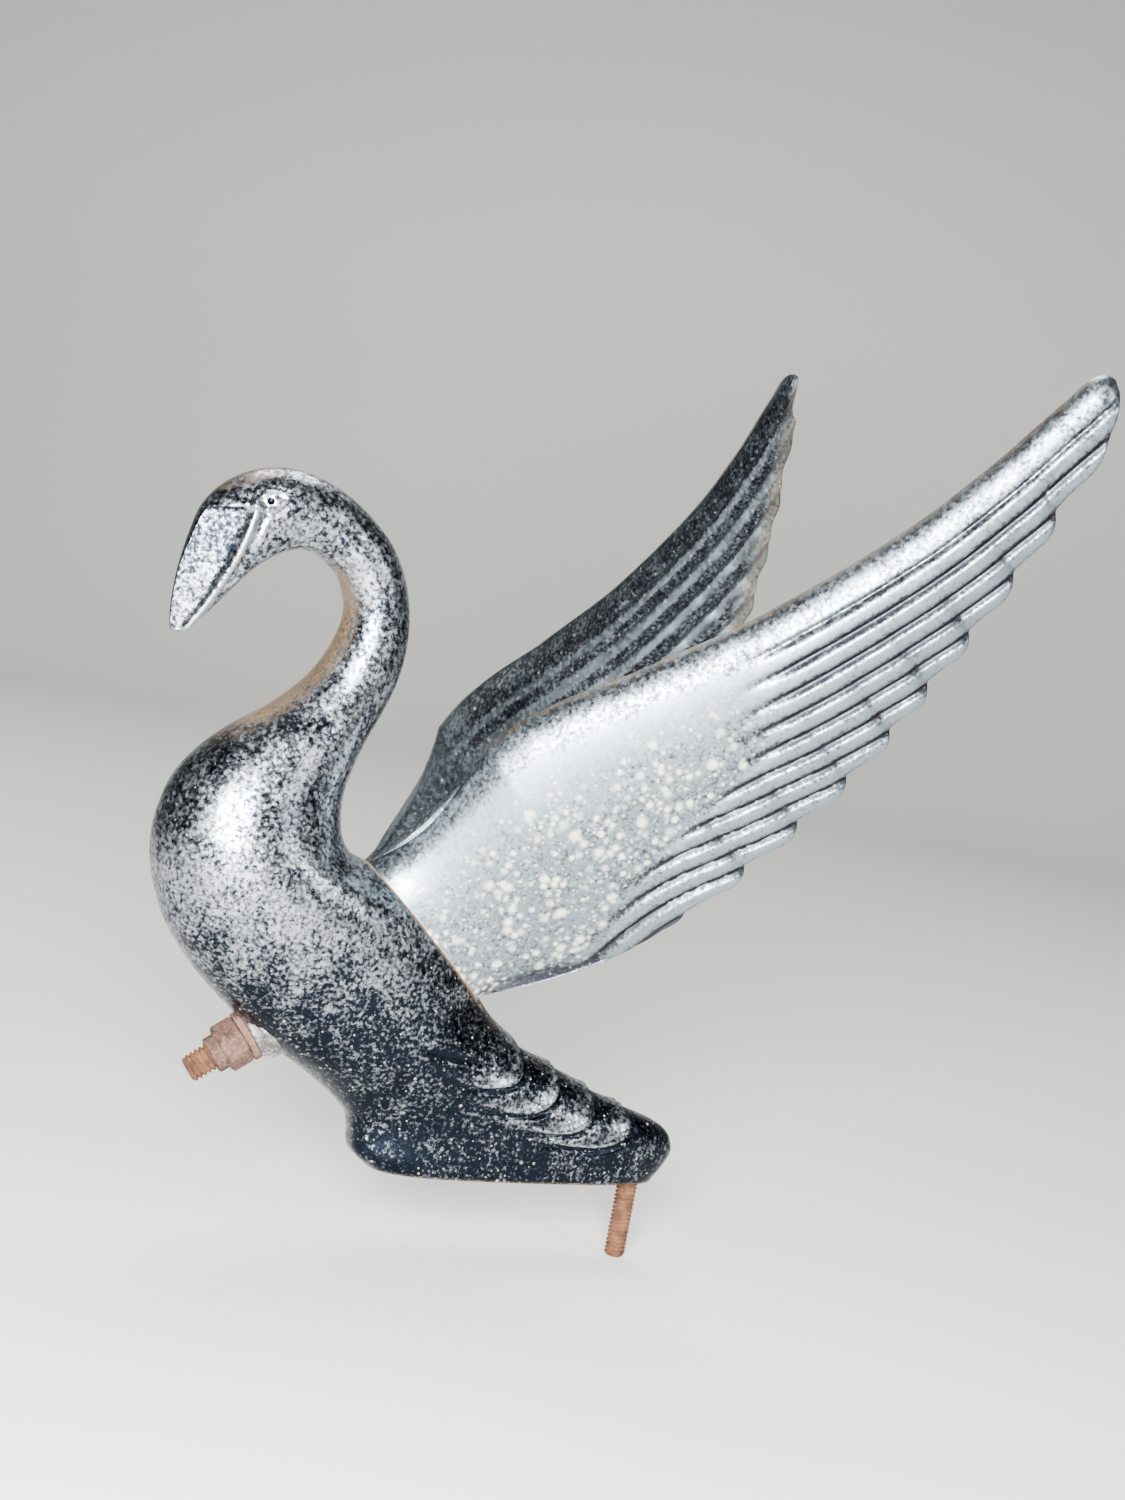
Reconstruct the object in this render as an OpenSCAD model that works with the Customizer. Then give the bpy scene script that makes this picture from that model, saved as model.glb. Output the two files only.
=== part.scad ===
// Swan hood ornament: two plated castings clamped together by a stud, with a second stud under the tail.
// Millimetres, +Z up. The bird flies towards -X and is symmetric about the XZ plane.
// Origin: where the rear stud leaves the foot plane.

/* [Bird] */
// Length of the body casting, from the front of the beak to the end of the tail
bird_length = 180; // [150:1:220]
// Height of the body casting, from the foot plane to the crown
bird_height = 192; // [160:1:235]
// Width across the breast
breast_width = 44; // [36:1:54]
// Thickness of the casting's wall round its hollow
wall = 3; // [2:0.25:4]
// Thickness of the wall under the wing seat
seat_wall = 5; // [4:0.5:7]

/* [Wings] */
// Length of a wing from the joint to its tip
wing_length = 242; // [200:1:290]
// Width of a wing across its chord
wing_chord = 72; // [60:1:86]
// How steeply the wings rise from the horizontal
wing_rise = 45; // [38:1:52]
// How far each wing opens outward from the middle plane
wing_splay = 29.7; // [24:0.1:36]
// How far the wing is rolled about its own length
wing_roll = 21.3; // [15:0.1:27]
// Thickness of the wing at mid chord near its root
wing_thick = 4; // [3:0.25:6]
// Thickness of the wing at its tip
tip_thick = 2.4; // [2:0.2:4]
// Width of the wing seat across the back
seat_width = 29; // [24:0.5:34]

/* [Wing stud] */
// Diameter of the stud that clamps the wings on
wing_stud_d = 7.94; // [6:0.01:9.5]
// Slope of the clamp stud below the horizontal
wing_stud_tilt = 36.9; // [30:0.1:44]
// Length of the clamp stud that shows beyond the nut's collar
wing_stud_free = 7.5; // [5:0.5:14]
// Depth that the clamp stud screws into the wing root
wing_stud_grip = 14; // [10:0.5:18]
// Radial clearance round the stud where it passes through the body
stud_clearance = 0.4; // [0.3:0.05:1]

/* [Nut and washer] */
// Width of the nut across its flats
nut_flats = 12.7; // [11:0.1:16]
// Thickness of the nut's hexagon
nut_height = 6.8; // [5:0.1:9]
// Diameter of the round collar on the nut's outer face
collar_d = 10.6; // [10.2:0.1:11]
// Length of the collar
collar_height = 3.2; // [2:0.1:5]
// Outer diameter of the lock washer
washer_d = 14.9; // [13:0.1:17]
// Thickness of the lock washer
washer_thick = 2; // [1.6:0.1:3]
// Width of the split in the lock washer
washer_split = 1.6; // [1:0.1:3]

/* [Rear stud] */
// Diameter of the stud under the tail
rear_stud_d = 6.35; // [5:0.01:8]
// Length of the rear stud below the foot plane
rear_stud_length = 25; // [18:0.5:40]
// Diameter of the knurled end of the rear stud that is cast into the tail
rear_anchor_d = 8; // [7:0.25:9]
// Outer diameter of the boss that holds the rear stud
rear_boss_d = 11; // [10.5:0.25:12]

/* [Hidden] */

thread_gap = 0.03;   // radial gap between a thread and its tapped hole
running_gap = 0.08;  // radial gap between the nut's thread and the clamp stud
face_gap = 0.02;     // gap between clamped faces that part when the nut turns
chamfer = 0.8;       // chamfer on the ends of studs
pad_height = 2.2;    // how far the washer pad stands out of the breast
pad_d = washer_d + 1;
spot_face_d = pad_d + 2;  // the breast is faced flat round the pad, so the washer and nut seat clear of it
below = 2;           // how far the body is modelled below the foot plane before it is trimmed
bore_fn = 64;
rim_slope = 30;      // slope of the chamfer on the nut's corners
split_angle = 200;   // where the washer's split stands, turned from up-and-forward

// The nominal figure is 180 x 192 x 44; these stretch it to the sizes asked for.
kx = bird_length / 180;
kz = bird_height / 192;
ky = breast_width / 44;
function at(x, z) = [x * kx, z * kz];

// ---------- small helpers ----------

function spline1(a, b, c, d, t) =
    0.5 * (2 * b + (c - a) * t + (2 * a - 5 * b + 4 * c - d) * t * t + (3 * b - a - 3 * c + d) * t * t * t);
function clampi(i, n) = max(0, min(n - 1, i));
// Row of a table at a fractional index, on a Catmull-Rom curve through the rows
function row_at(rows, s) =
    let (n = len(rows), i = min(floor(s), n - 2), t = s - i)
    spline1(rows[clampi(i - 1, n)], rows[i], rows[i + 1], rows[clampi(i + 2, n)], t);
function hermite(a, ta, b, tb, t) =
    let (t2 = t * t, t3 = t2 * t)
    (2 * t3 - 3 * t2 + 1) * a + (t3 - 2 * t2 + t) * ta + (3 * t2 - 2 * t3) * b + (t3 - t2) * tb;
function cross2(a, b) = a[0] * b[1] - a[1] * b[0];
function unit(v) = v / norm(v);
function flat(list) = [for (part = list, item = part) item];
// Value at p on a smooth curve through [p, value] stations
function along(stations, p) =
    let (
        n = len(stations),
        i = clampi(len([for (s = stations) if (s[0] <= p) 1]) - 1, n - 1),
        t = (p - stations[i][0]) / (stations[i + 1][0] - stations[i][0])
    )
    spline1(stations[clampi(i - 1, n)][1], stations[i][1], stations[i + 1][1], stations[clampi(i + 2, n)][1],
            max(0, min(1, t)));

// One closed skin through a list of rings, each with the same number of points, and a pole at each end
module skin(rings, first_pole, last_pole) {
    m = len(rings[0]);
    n = len(rings);
    points = concat([first_pole], flat(rings), [last_pole]);
    last = n * m + 1;
    faces = concat(
        [for (j = [0:m - 1]) [0, 1 + j, 1 + (j + 1) % m]],
        flat([for (i = [0:n - 2], j = [0:m - 1])
            let (a = 1 + i * m + j, b = 1 + i * m + (j + 1) % m, c = a + m, d = b + m)
            [[a, c, d], [a, d, b]]]),
        [for (j = [0:m - 1]) [last, 1 + (n - 1) * m + (j + 1) % m, 1 + (n - 1) * m + j]]
    );
    polyhedron(points, faces, convexity = 10);
}

// ---------- joint between the castings, and the clamp stud's axis ----------

joint_front = at(-101, 87);
joint_rear = at(-62, 51);
joint_mid = (joint_front + joint_rear) / 2;
joint_dir = unit(joint_rear - joint_front);
joint_out = [-joint_dir[1], joint_dir[0]];
joint_length = norm(joint_rear - joint_front);
joint_angle = atan2(joint_out[0], joint_out[1]);
stud_out = [-cos(wing_stud_tilt), -sin(wing_stud_tilt)];

// Moves its children so that their +Z runs out along the clamp stud, from the middle of the joint
module on_clamp_axis(distance) {
    translate([joint_mid[0] + stud_out[0] * distance, 0, joint_mid[1] + stud_out[1] * distance])
        rotate([0, -90 - wing_stud_tilt, 0]) children();
}

// ---------- body casting ----------

// Slanting sections through the figure, from the foot to the tip of the beak. Each is the line from its rear
// or upper end to its front or lower end: [rear x, rear z, front x, front z, half width, squareness, taper,
// bulge]. Taper narrows the rear end; bulge carries the back past the joint before the seat is cut.
SECTIONS = [
    [6, 0, -86, 0, 12, 3.0, -0.20, 0],
    [9.8, 5.5, -91, 4, 12, 3.0, -0.20, 0],
    [11.5, 11, -92.5, 10, 12, 2.8, -0.18, 0],
    [6, 17.5, -94.5, 15, 12.5, 2.6, -0.16, 0],
    [-14, 24, -100, 20, 13.5, 2.4, -0.14, 0],
    [-30, 31, -107, 25, 15, 2.3, -0.12, 0],
    [-47, 39, -116, 30.5, 17, 2.2, -0.10, 0],
    [-62, 51, -127, 37.5, 18.5, 2.2, -0.06, 2],
    [-71, 59.5, -138, 46, 20, 2.2, -0.04, 7],
    [-81.5, 69, -148, 55.5, 21.2, 2.2, -0.04, 9],
    [-91, 78, -156, 66, 22, 2.2, -0.04, 7],
    [-101, 87, -161, 77.5, 22, 2.1, -0.02, 1],
    [-107.5, 90.5, -163, 88, 21.4, 2.0, 0, 0],
    [-111, 96.5, -162, 97.5, 20, 2.0, 0, 0],
    [-112, 105.5, -159.5, 105.5, 18.3, 2.0, 0, 0],
    [-110.4, 114.5, -154, 113.5, 16.2, 2.0, 0, 0],
    [-108, 122, -146, 121, 14, 2.0, 0, 0],
    [-105, 129.5, -137, 127.5, 12, 2.0, 0, 0],
    [-102.3, 138, -127.5, 137, 10.8, 2.0, 0, 0],
    [-101, 147, -122.1, 147, 9.9, 2.0, 0, 0],
    [-101.4, 156, -120.3, 156, 9.4, 2.0, 0, 0],
    [-104, 166, -123, 164, 9.2, 2.0, 0, 0],
    [-109, 175, -127, 168, 9.2, 2.0, 0, 0],
    [-115.5, 181.5, -131, 170.3, 9.2, 2.0, 0, 0],
    [-124, 187.3, -135.5, 171, 9.2, 2.0, 0, 0],
    [-133, 190.8, -140, 169.5, 9.4, 2.0, 0, 0],
    [-142, 192, -144, 167, 9.6, 2.0, 0, 0],
    [-151, 190.2, -147.5, 164, 9.4, 2.1, 0, 0],
    [-158.5, 185.8, -150.5, 160.5, 8.8, 2.2, 0, 0],
    [-164, 179, -153.5, 156.5, 7.8, 2.3, 0, 0],
    [-166.5, 170, -157, 151.8, 6.6, 2.3, 0, 0],
    [-168, 160.5, -160.5, 147.4, 5.2, 2.2, 0, 0],
    [-168.3, 152, -163.3, 144.3, 3.6, 2.1, 0, 0],
    [-168, 146.5, -165.3, 143.4, 1.8, 2.0, 0, 0]
];
BEAK_TIP = [-167.3, 144];
hollow_rows = 13.4;  // the hollow ends at this section, where the neck begins
outer_steps = 74;    // rings over the whole figure
inner_steps = 28;    // rings over the hollow
ring_points = 32;

// Points of one section: rear and front ends, half width and shape, walked all round
function section_ring(rear, front, half_width, squareness, taper) =
    [for (k = [0:ring_points - 1])
        let (
            angle = 360 * k / ring_points,
            c = cos(angle),
            s = sin(angle),
            e = 2 / squareness,
            u = sign(c) * pow(abs(c), e),
            v = sign(s) * pow(abs(s), e),
            p = (rear + front) / 2 + (rear - front) / 2 * u
        )
        [p[0], half_width * v * (1 + taper * u), p[1]]];

function rear_of(r) = at(r[0], r[1]);
function front_of(r) = at(r[2], r[3]);

function outer_ring(s) =
    let (r = row_at(SECTIONS, s), rear = rear_of(r), front = front_of(r), d = unit(rear - front))
    section_ring(rear + d * max(0, r[7]), front, r[4] * ky, r[5], r[6]);

// How far to step in along a section so that the wall measured square to the outline is as asked
function step_in(thickness, d, tangent) = thickness / max(0.5, abs(cross2(d, unit(tangent))));

function inner_ring(s) =
    let (
        r = row_at(SECTIONS, s),
        r0 = row_at(SECTIONS, max(0, s - 0.5)),
        r1 = row_at(SECTIONS, s + 0.5),
        rear = rear_of(r),
        front = front_of(r),
        d = unit(rear - front),
        seated = r[7] > 0.5 ? seat_wall : wall,
        rear_in = step_in(seated, d, rear_of(r1) - rear_of(r0)),
        front_in = step_in(wall, d, front_of(r1) - front_of(r0))
    )
    section_ring(rear - d * rear_in, front + d * front_in, r[4] * ky - wall, r[5], r[6]);

function lowered(ring) = [for (p = ring) [p[0], p[1], -below]];
function ring_middle(ring) = (ring[0] + ring[ring_points / 2]) / 2;

module body_shell() {
    last = len(SECTIONS) - 1;
    inner = [for (i = [0:inner_steps]) inner_ring(hollow_rows * (1 - i / inner_steps))];
    outer = [for (i = [0:outer_steps]) outer_ring(last * i / outer_steps)];
    rings = concat(inner, [lowered(inner[inner_steps])], [lowered(outer[0])], outer);
    tip = at(BEAK_TIP[0], BEAK_TIP[1]);
    skin(rings, ring_middle(inner[0]), [tip[0], 0, tip[1]]);
}

// Distance from the middle of the joint to the breast's skin, along the clamp stud
breast_a = front_of(SECTIONS[6]);
breast_b = front_of(SECTIONS[7]);
breast_reach = cross2(breast_a - joint_mid, breast_b - breast_a) / cross2(stud_out, breast_b - breast_a);
washer_seat = breast_reach + pad_height;

// Height of the tail's skin above the rear stud
tail_a = rear_of(SECTIONS[3]);
tail_b = rear_of(SECTIONS[4]);
tail_top = tail_a[1] + (tail_b[1] - tail_a[1]) * (0 - tail_a[0]) / (tail_b[0] - tail_a[0]);
rear_boss_top = tail_top - wall;
rear_stud_grip = rear_boss_top - 1;

module body_casting() {
    color("silver")
    difference() {
        union() {
            body_shell();
            cylinder(d = rear_boss_d, h = rear_boss_top + wall * 0.4, $fn = bore_fn);
            on_clamp_axis(breast_reach - 8) cylinder(d = pad_d, h = 8 + pad_height, $fn = bore_fn);
        }
        translate([-bird_length, -breast_width, -3 * below])
            cube([2 * bird_length, 2 * breast_width, 3 * below]);
        translate([joint_mid[0], 0, joint_mid[1]]) rotate([0, joint_angle, 0])
            translate([-joint_length / 2, -breast_width, 0]) cube([joint_length, 2 * breast_width, 16]);
        on_clamp_axis(-seat_wall) cylinder(d = wing_stud_d + 2 * stud_clearance,
            h = washer_seat + seat_wall + 1, $fn = bore_fn);
        on_clamp_axis(washer_seat) cylinder(d = spot_face_d, h = spot_face_d, $fn = bore_fn);
        translate([0, 0, -1]) cylinder(d = rear_anchor_d + 2 * thread_gap, h = rear_stud_grip + 1,
            $fn = bore_fn);
    }
}

// ---------- wing casting ----------

// Along the wing, across it towards its trailing edge, and out of its outer face
wing_p = [cos(wing_rise) * cos(wing_splay), cos(wing_rise) * sin(wing_splay), sin(wing_rise)];
chord_level = [sin(wing_splay), -cos(wing_splay), 0];
chord_steep = [sin(wing_rise) * cos(wing_splay), sin(wing_rise) * sin(wing_splay), -cos(wing_rise)];
wing_q = chord_steep * cos(wing_roll) + chord_level * sin(wing_roll);
wing_n = cross(wing_p, wing_q);
wing_origin = [joint_mid[0] + 1.5, 4.7, joint_mid[1] + 9.5];
blade_start = 40;    // where the blades have parted and run free
groove_first = 7.8;  // distance of the first groove between feathers from the leading edge
groove_pitch = 6.9;  // width of a feather
scallop = 1.8;       // how far each feather's end stands out of the trailing edge
camber = 3.2;        // how far the blade arches outward
nose = 8.5;          // width of the rounded leading edge
crown = 8;           // how far the blade swells outward between its edges, at its root
crown_fade = 0.8;    // share of the crown that is lost on the way to the tip
tip_flare = 4.8;     // outward turn of the trailing edge at the tip
flare_from = 0.64;   // share of the wing's length where that turn starts
edge_share = 0.3;    // thickness of the blade's edges, as a share of its thickness at mid chord

wing_end = wing_length - 7;
kp = wing_end / 235;
kq = wing_chord / 72;
// Leading and trailing edges of the blade as [distance along, distance across]
LEADING = [[0, -24], [20, -27.5], [40, -31], [58, -30.3], [84, -24.3], [121, -17.2], [165, -13.9],
    [195, -15.3], [222, -18.8], [236, -20.6]];
TRAILING = [[0, 33.5], [20, 42.5], [41, 46.5], [77, 44], [117, 38], [148, 28.3], [188, 13], [226, -4.6],
    [236, -11]];
feather_from = 50;
feather_to = 226;

function lead(p) = kq * along(LEADING, p / kp);
// Each feather ends where its groove reaches the trailing edge, and turns in there towards the tip
function feather_bump(p) =
    p < feather_from || p > feather_to ? 0
    : let (f = (along(TRAILING, p) - along(LEADING, p) - groove_first) / groove_pitch, t = 1 - (f - floor(f)))
      scallop * sin(180 * pow(t, 1.7));
// The last few millimetres close in a round tip
tip_round = 7;
function tip_close(p) =
    let (t = max(0, (p / kp - (235 - tip_round)) / tip_round))
    sqrt(max(0.02, 1 - t * t));
function trail(p) = kq * (along(TRAILING, p / kp) + feather_bump(p / kp));
function thickness(p, v) =
    let (t = max(0, min(1, p / wing_end)), body = wing_thick + (tip_thick - wing_thick) * t)
    body * tip_close(p) * (edge_share + (1 - edge_share) * sqrt(max(0, sin(180 * pow(v, 0.8)))));
// How far the blade turns outward towards its trailing edge near the tip
function flare(p, v) = tip_flare * pow(max(0, p / wing_end - flare_from) / (1 - flare_from), 1.5) * v * v;
// Outward arch of the blade at distance d from the leading edge, over a rounded nose
function arch(p, v, d) =
    let (n = 1 - min(1, d / (nose * kq)))
    camber * (1 - 0.45 * p / wing_end) * sqrt(1 - n * n) * (1 - 0.9 * v * v) * tip_close(p);
// Broad outward swell of the blade, highest a little ahead of mid chord
function swell(p, v) = crown * (1 - crown_fade * p / wing_end) * sin(180 * pow(v, 0.7)) * tip_close(p);
// Blade point at distance p along, share v across, on the outer (side 1) or inner (side -1) face
function blade(p, v, side) =
    let (
        a = lead(p),
        b = trail(p),
        mid = a + (b - a) * (0.45 + 0.05 * v),
        q = mid + (a + (b - a) * v - mid) * tip_close(p),
        h = side * thickness(p, v) / 2 + flare(p, v) + arch(p, v, (b - a) * v) + swell(p, v)
    )
    wing_origin + wing_p * p + wing_q * q + wing_n * h;

// The joint's outline and the saddle between the wings, at share v from front to rear
function seat_half(v) = seat_width / 2 * pow(1 - pow(abs(2 * v - 1), 2.6), 1 / 2.6);
function on_joint(v, y) = let (p = joint_front + (joint_rear - joint_front) * v) [p[0], y, p[1]];
// Height of the saddle above the joint, in the middle plane
SADDLE = [[0, 3], [0.12, 13], [0.3, 24.5], [0.5, 27], [0.7, 20], [0.88, 10], [1, 3]];
function saddle(v) =
    let (h = along(SADDLE, v), p = on_joint(v + 0.12 * sin(180 * v), 0))
    [p[0] + joint_out[0] * h, 0, p[2] + joint_out[1] * h];

joint_out3 = [joint_out[0], 0, joint_out[1]];
outer_rise = 36;     // how strongly the outer face of the root rises off the joint
outer_lead = 30;     // how strongly it then runs on into the blade
saddle_spread = 26;  // how strongly the saddle between the wings spreads sideways
inner_lead = 40;     // how strongly it then runs on into the blade
lead_sweep = 0.6;    // how far the leading edge sweeps forward as it leaves the root
seat_share = 0.35;   // share of the root stations that lie on the joint
root_steps = 10;
blade_steps = 46;
chord_points = 13;
function share(k) = 0.02 + 0.96 * k / (chord_points - 1);

// Direction in which the surfaces of the root run into the blade
function blade_lead_in(v) = wing_p - wing_q * lead_sweep * pow(1 - v, 2);
function root_outer(u, v) =
    u < seat_share ? on_joint(v, seat_half(v) * u / seat_share)
    : let (t = (u - seat_share) / (1 - seat_share))
      hermite(on_joint(v, seat_half(v)), joint_out3 * outer_rise,
              blade(blade_start, v, 1), blade_lead_in(v) * outer_lead, t);
function root_inner(u, v) =
    hermite(saddle(v), [0, saddle_spread, 0], blade(blade_start, v, -1), blade_lead_in(v) * inner_lead, u);

function loop_of(outer, inner) = concat(outer, [for (i = [len(inner) - 1:-1:0]) inner[i]]);
function root_ring(u) = loop_of(
    [for (k = [0:chord_points - 1]) root_outer(u, share(k))],
    [for (k = [0:chord_points - 1]) root_inner(u, share(k))]);
function blade_ring(p) = loop_of(
    [for (k = [0:chord_points - 1]) blade(p, share(k), 1)],
    [for (k = [0:chord_points - 1]) blade(p, share(k), -1)]);
function mirrored(ring) = [for (p = ring) [p[0], -p[1], p[2]]];

module wing_blades() {
    half = concat(
        [for (i = [0:root_steps - 1]) root_ring(i / root_steps)],
        [for (i = [0:blade_steps]) blade_ring(blade_start + (wing_end - blade_start) * i / blade_steps)]);
    n = len(half);
    tip = (blade(wing_end, 0.5, 1) + blade(wing_end, 0.5, -1)) / 2 + wing_p * 0.3;
    rings = concat([for (i = [n - 1:-1:1]) mirrored(half[i])], half);
    skin(rings, [tip[0], -tip[1], tip[2]], tip);
}

module wing_casting() {
    color("gainsboro")
    difference() {
        wing_blades();
        on_clamp_axis(-wing_stud_grip - 1)
            cylinder(d = wing_stud_d + 2 * thread_gap, h = wing_stud_grip + 6, $fn = bore_fn);
    }
}

// ---------- studs, washer and nut ----------

module chamfered_rod(d, length) {
    rotate_extrude($fn = bore_fn)
        polygon([[0, 0], [d / 2 - chamfer, 0], [d / 2, chamfer], [d / 2, length - chamfer],
            [d / 2 - chamfer, length], [0, length]]);
}

nut_seat = washer_seat + washer_thick + 2 * face_gap;
nut_total = nut_height + collar_height;

module wing_stud() {
    color("peru")
    on_clamp_axis(-wing_stud_grip)
        chamfered_rod(wing_stud_d, wing_stud_grip + nut_seat + nut_total + wing_stud_free);
}

module lock_washer() {
    inner = wing_stud_d / 2 + running_gap;
    color("tan")
    on_clamp_axis(washer_seat + face_gap)
    difference() {
        cylinder(d = washer_d, h = washer_thick, $fn = bore_fn);
        translate([0, 0, -1]) cylinder(r = inner, h = washer_thick + 2, $fn = bore_fn);
        rotate([0, 0, split_angle]) translate([0, -washer_split / 2, -1])
            cube([washer_d, washer_split, washer_thick + 2]);
    }
}

module hex_nut() {
    corner = nut_flats / cos(30) / 2;
    face = nut_flats / 2 - 0.2;
    rim = corner + 1;
    rim_drop = (rim - face) * tan(rim_slope);
    color("chocolate")
    on_clamp_axis(nut_seat)
    difference() {
        union() {
            intersection() {
                rotate([0, 0, 15]) cylinder(r = corner, h = nut_height, $fn = 6);
                rotate_extrude($fn = bore_fn)
                    polygon([[0, -1], [rim, -1], [rim, nut_height - rim_drop], [face, nut_height],
                        [0, nut_height]]);
            }
            cylinder(d = collar_d, h = nut_total, $fn = bore_fn);
        }
        translate([0, 0, -1]) cylinder(d = wing_stud_d + 2 * running_gap, h = nut_total + 2, $fn = bore_fn);
    }
}

module rear_stud() {
    color("peru")
    translate([0, 0, -rear_stud_length]) rotate_extrude($fn = bore_fn)
        polygon([[0, 0], [rear_stud_d / 2 - chamfer, 0], [rear_stud_d / 2, chamfer],
            [rear_stud_d / 2, rear_stud_length], [rear_anchor_d / 2, rear_stud_length],
            [rear_anchor_d / 2, rear_stud_length + rear_stud_grip], [0, rear_stud_length + rear_stud_grip]]);
}

body_casting();
wing_casting();
wing_stud();
lock_washer();
hex_nut();
rear_stud();
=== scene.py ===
"""Looks of a plated swan hood ornament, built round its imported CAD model.

Two chrome-plated castings, a bird and a pair of wings, are clamped together by a threaded stud with a lock
washer and a nut, and a second stud stands under the tail. Every shape here is worked out in millimetres with
numpy, as a surface over a grid, and turned to metres when its mesh is made. The bird flies towards -X, +Z is
up, the XZ plane is its plane of symmetry, and the origin is where the rear stud leaves the foot.
"""

import logging
from dataclasses import dataclass
from enum import Enum

import bpy
import numpy as np
from mathutils import Matrix

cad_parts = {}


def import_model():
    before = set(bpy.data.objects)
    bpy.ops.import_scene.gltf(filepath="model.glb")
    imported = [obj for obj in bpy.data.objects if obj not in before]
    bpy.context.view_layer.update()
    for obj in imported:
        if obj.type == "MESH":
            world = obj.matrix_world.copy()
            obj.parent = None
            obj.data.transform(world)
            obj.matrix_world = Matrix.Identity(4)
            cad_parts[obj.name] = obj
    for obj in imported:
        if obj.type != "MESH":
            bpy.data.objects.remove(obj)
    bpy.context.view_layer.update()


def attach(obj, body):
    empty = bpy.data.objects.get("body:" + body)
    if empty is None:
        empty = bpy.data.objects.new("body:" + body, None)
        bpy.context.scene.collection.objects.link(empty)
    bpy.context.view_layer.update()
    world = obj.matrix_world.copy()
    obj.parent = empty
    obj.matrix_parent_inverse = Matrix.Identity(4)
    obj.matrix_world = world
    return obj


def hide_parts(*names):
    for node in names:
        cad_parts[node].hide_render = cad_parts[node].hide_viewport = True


LOG = logging.getLogger("hood_ornament")
MM = 0.001
STUD_PROUD = 7.5  # how far the wing stud stands out of its nut, in millimetres

# Settings that several material nodes share
ADD = {"operation": "ADD"}
SUBTRACT = {"operation": "SUBTRACT"}
MULTIPLY = {"operation": "MULTIPLY"}
MAXIMUM = {"operation": "MAXIMUM"}
SMOOTH = {"interpolation_type": "SMOOTHSTEP"}
NUMBERS = {"data_type": "FLOAT"}
COLOURS = {"data_type": "RGBA"}


class Body(Enum):
    """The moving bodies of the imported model."""

    CASTINGS = "castings"
    WASHER = "washer"
    NUT = "nut"


class Slot(Enum):
    """The record's material slots."""

    BODY = "body_plating"
    WINGS = "wing_plating"
    STUD = "rusted_stud"
    WASHER = "rusted_washer"
    NUT = "rusted_nut"


# ---------------------------------------------------------------- curves and grids


def spline_rows(rows: np.ndarray, at: np.ndarray) -> np.ndarray:
    """Rows of a table at fractional indices, on a Catmull-Rom curve through the rows.

    Args:
        rows: Table of shape (n, columns).
        at: Fractional row numbers, of shape (k,).

    Returns:
        Array of shape (k, columns).
    """
    last = len(rows) - 1
    i = np.clip(np.floor(at).astype(int), 0, last - 1)
    t = (at - i)[:, None]
    a, b, c, d = (rows[np.clip(i + step, 0, last)] for step in (-1, 0, 1, 2))
    return 0.5 * (2 * b + (c - a) * t + (2 * a - 5 * b + 4 * c - d) * t**2 + (3 * b - a - 3 * c + d) * t**3)


def curve_at(stations: np.ndarray, x: np.ndarray) -> np.ndarray:
    """Value at x on a smooth curve through [x, value] stations, the same curve as the CAD model's.

    Args:
        stations: Array of shape (n, 2), in rising x.
        x: Places of any shape; those outside take the end values.

    Returns:
        Values in the shape of x.
    """
    x = np.asarray(x, float)
    i = np.clip(np.searchsorted(stations[:, 0], x.ravel(), side="right") - 1, 0, len(stations) - 2)
    t = np.clip((x.ravel() - stations[i, 0]) / (stations[i + 1, 0] - stations[i, 0]), 0, 1)
    return spline_rows(stations[:, 1:], i + t * (1 - 1e-9)).reshape(x.shape)


def hermite(a: np.ndarray, leave: np.ndarray, b: np.ndarray, arrive: np.ndarray, t: np.ndarray) -> np.ndarray:
    """Cubic from a to b with tangent leave at a and arrive at b.

    Args:
        a: Start points.
        leave: Tangents at the start.
        b: End points.
        arrive: Tangents at the end.
        t: Shares of the way, with a last axis of length 1.

    Returns:
        Points on the cubics.
    """
    return (
        (2 * t**3 - 3 * t**2 + 1) * a + (t**3 - 2 * t**2 + t) * leave
        + (3 * t**2 - 2 * t**3) * b + (t**3 - t**2) * arrive
    )


def smooth(x: np.ndarray, low: float = 0.0, high: float = 1.0) -> np.ndarray:
    """Rises smoothly from 0 at low to 1 at high."""
    t = np.clip((x - low) / (high - low), 0, 1)
    return t * t * (3 - 2 * t)


def unit(v: np.ndarray) -> np.ndarray:
    """Vectors along the last axis, scaled to length 1."""
    return v / np.maximum(np.linalg.norm(v, axis=-1, keepdims=True), 1e-12)


def path_through(points: tuple, count: int = 48) -> np.ndarray:
    """Smooth plane curve through a few points, as count points of equal parameter step."""
    rows = np.array(points, float)
    return spline_rows(rows, np.linspace(0, len(rows) - 1 - 1e-9, count))


def beside_path(x: np.ndarray, z: np.ndarray, path: np.ndarray) -> tuple[np.ndarray, np.ndarray]:
    """How far plane points lie from a path, and how far along it their nearest point is.

    Args:
        x: First coordinates, of any shape.
        z: Second coordinates, of the same shape.
        path: Points of the path, of shape (k, 2).

    Returns:
        The distance, positive on the left of the path's direction, and the share along the path.
    """
    p = np.stack([x.ravel(), z.ravel()], -1)[:, None, :]
    a, step = path[:-1], np.diff(path, axis=0)
    t = np.clip(((p - a) * step).sum(-1) / (step * step).sum(-1), 0, 1)
    gap = p - (a + t[..., None] * step)
    far = np.linalg.norm(gap, axis=-1)
    best = far.argmin(1)
    row = np.arange(len(best))
    side = step[best, 0] * gap[row, best, 1] - step[best, 1] * gap[row, best, 0]
    signed = far[row, best] * np.where(side >= 0, 1.0, -1.0)
    return signed.reshape(x.shape), ((best + t[row, best]) / len(step)).reshape(x.shape)


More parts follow.
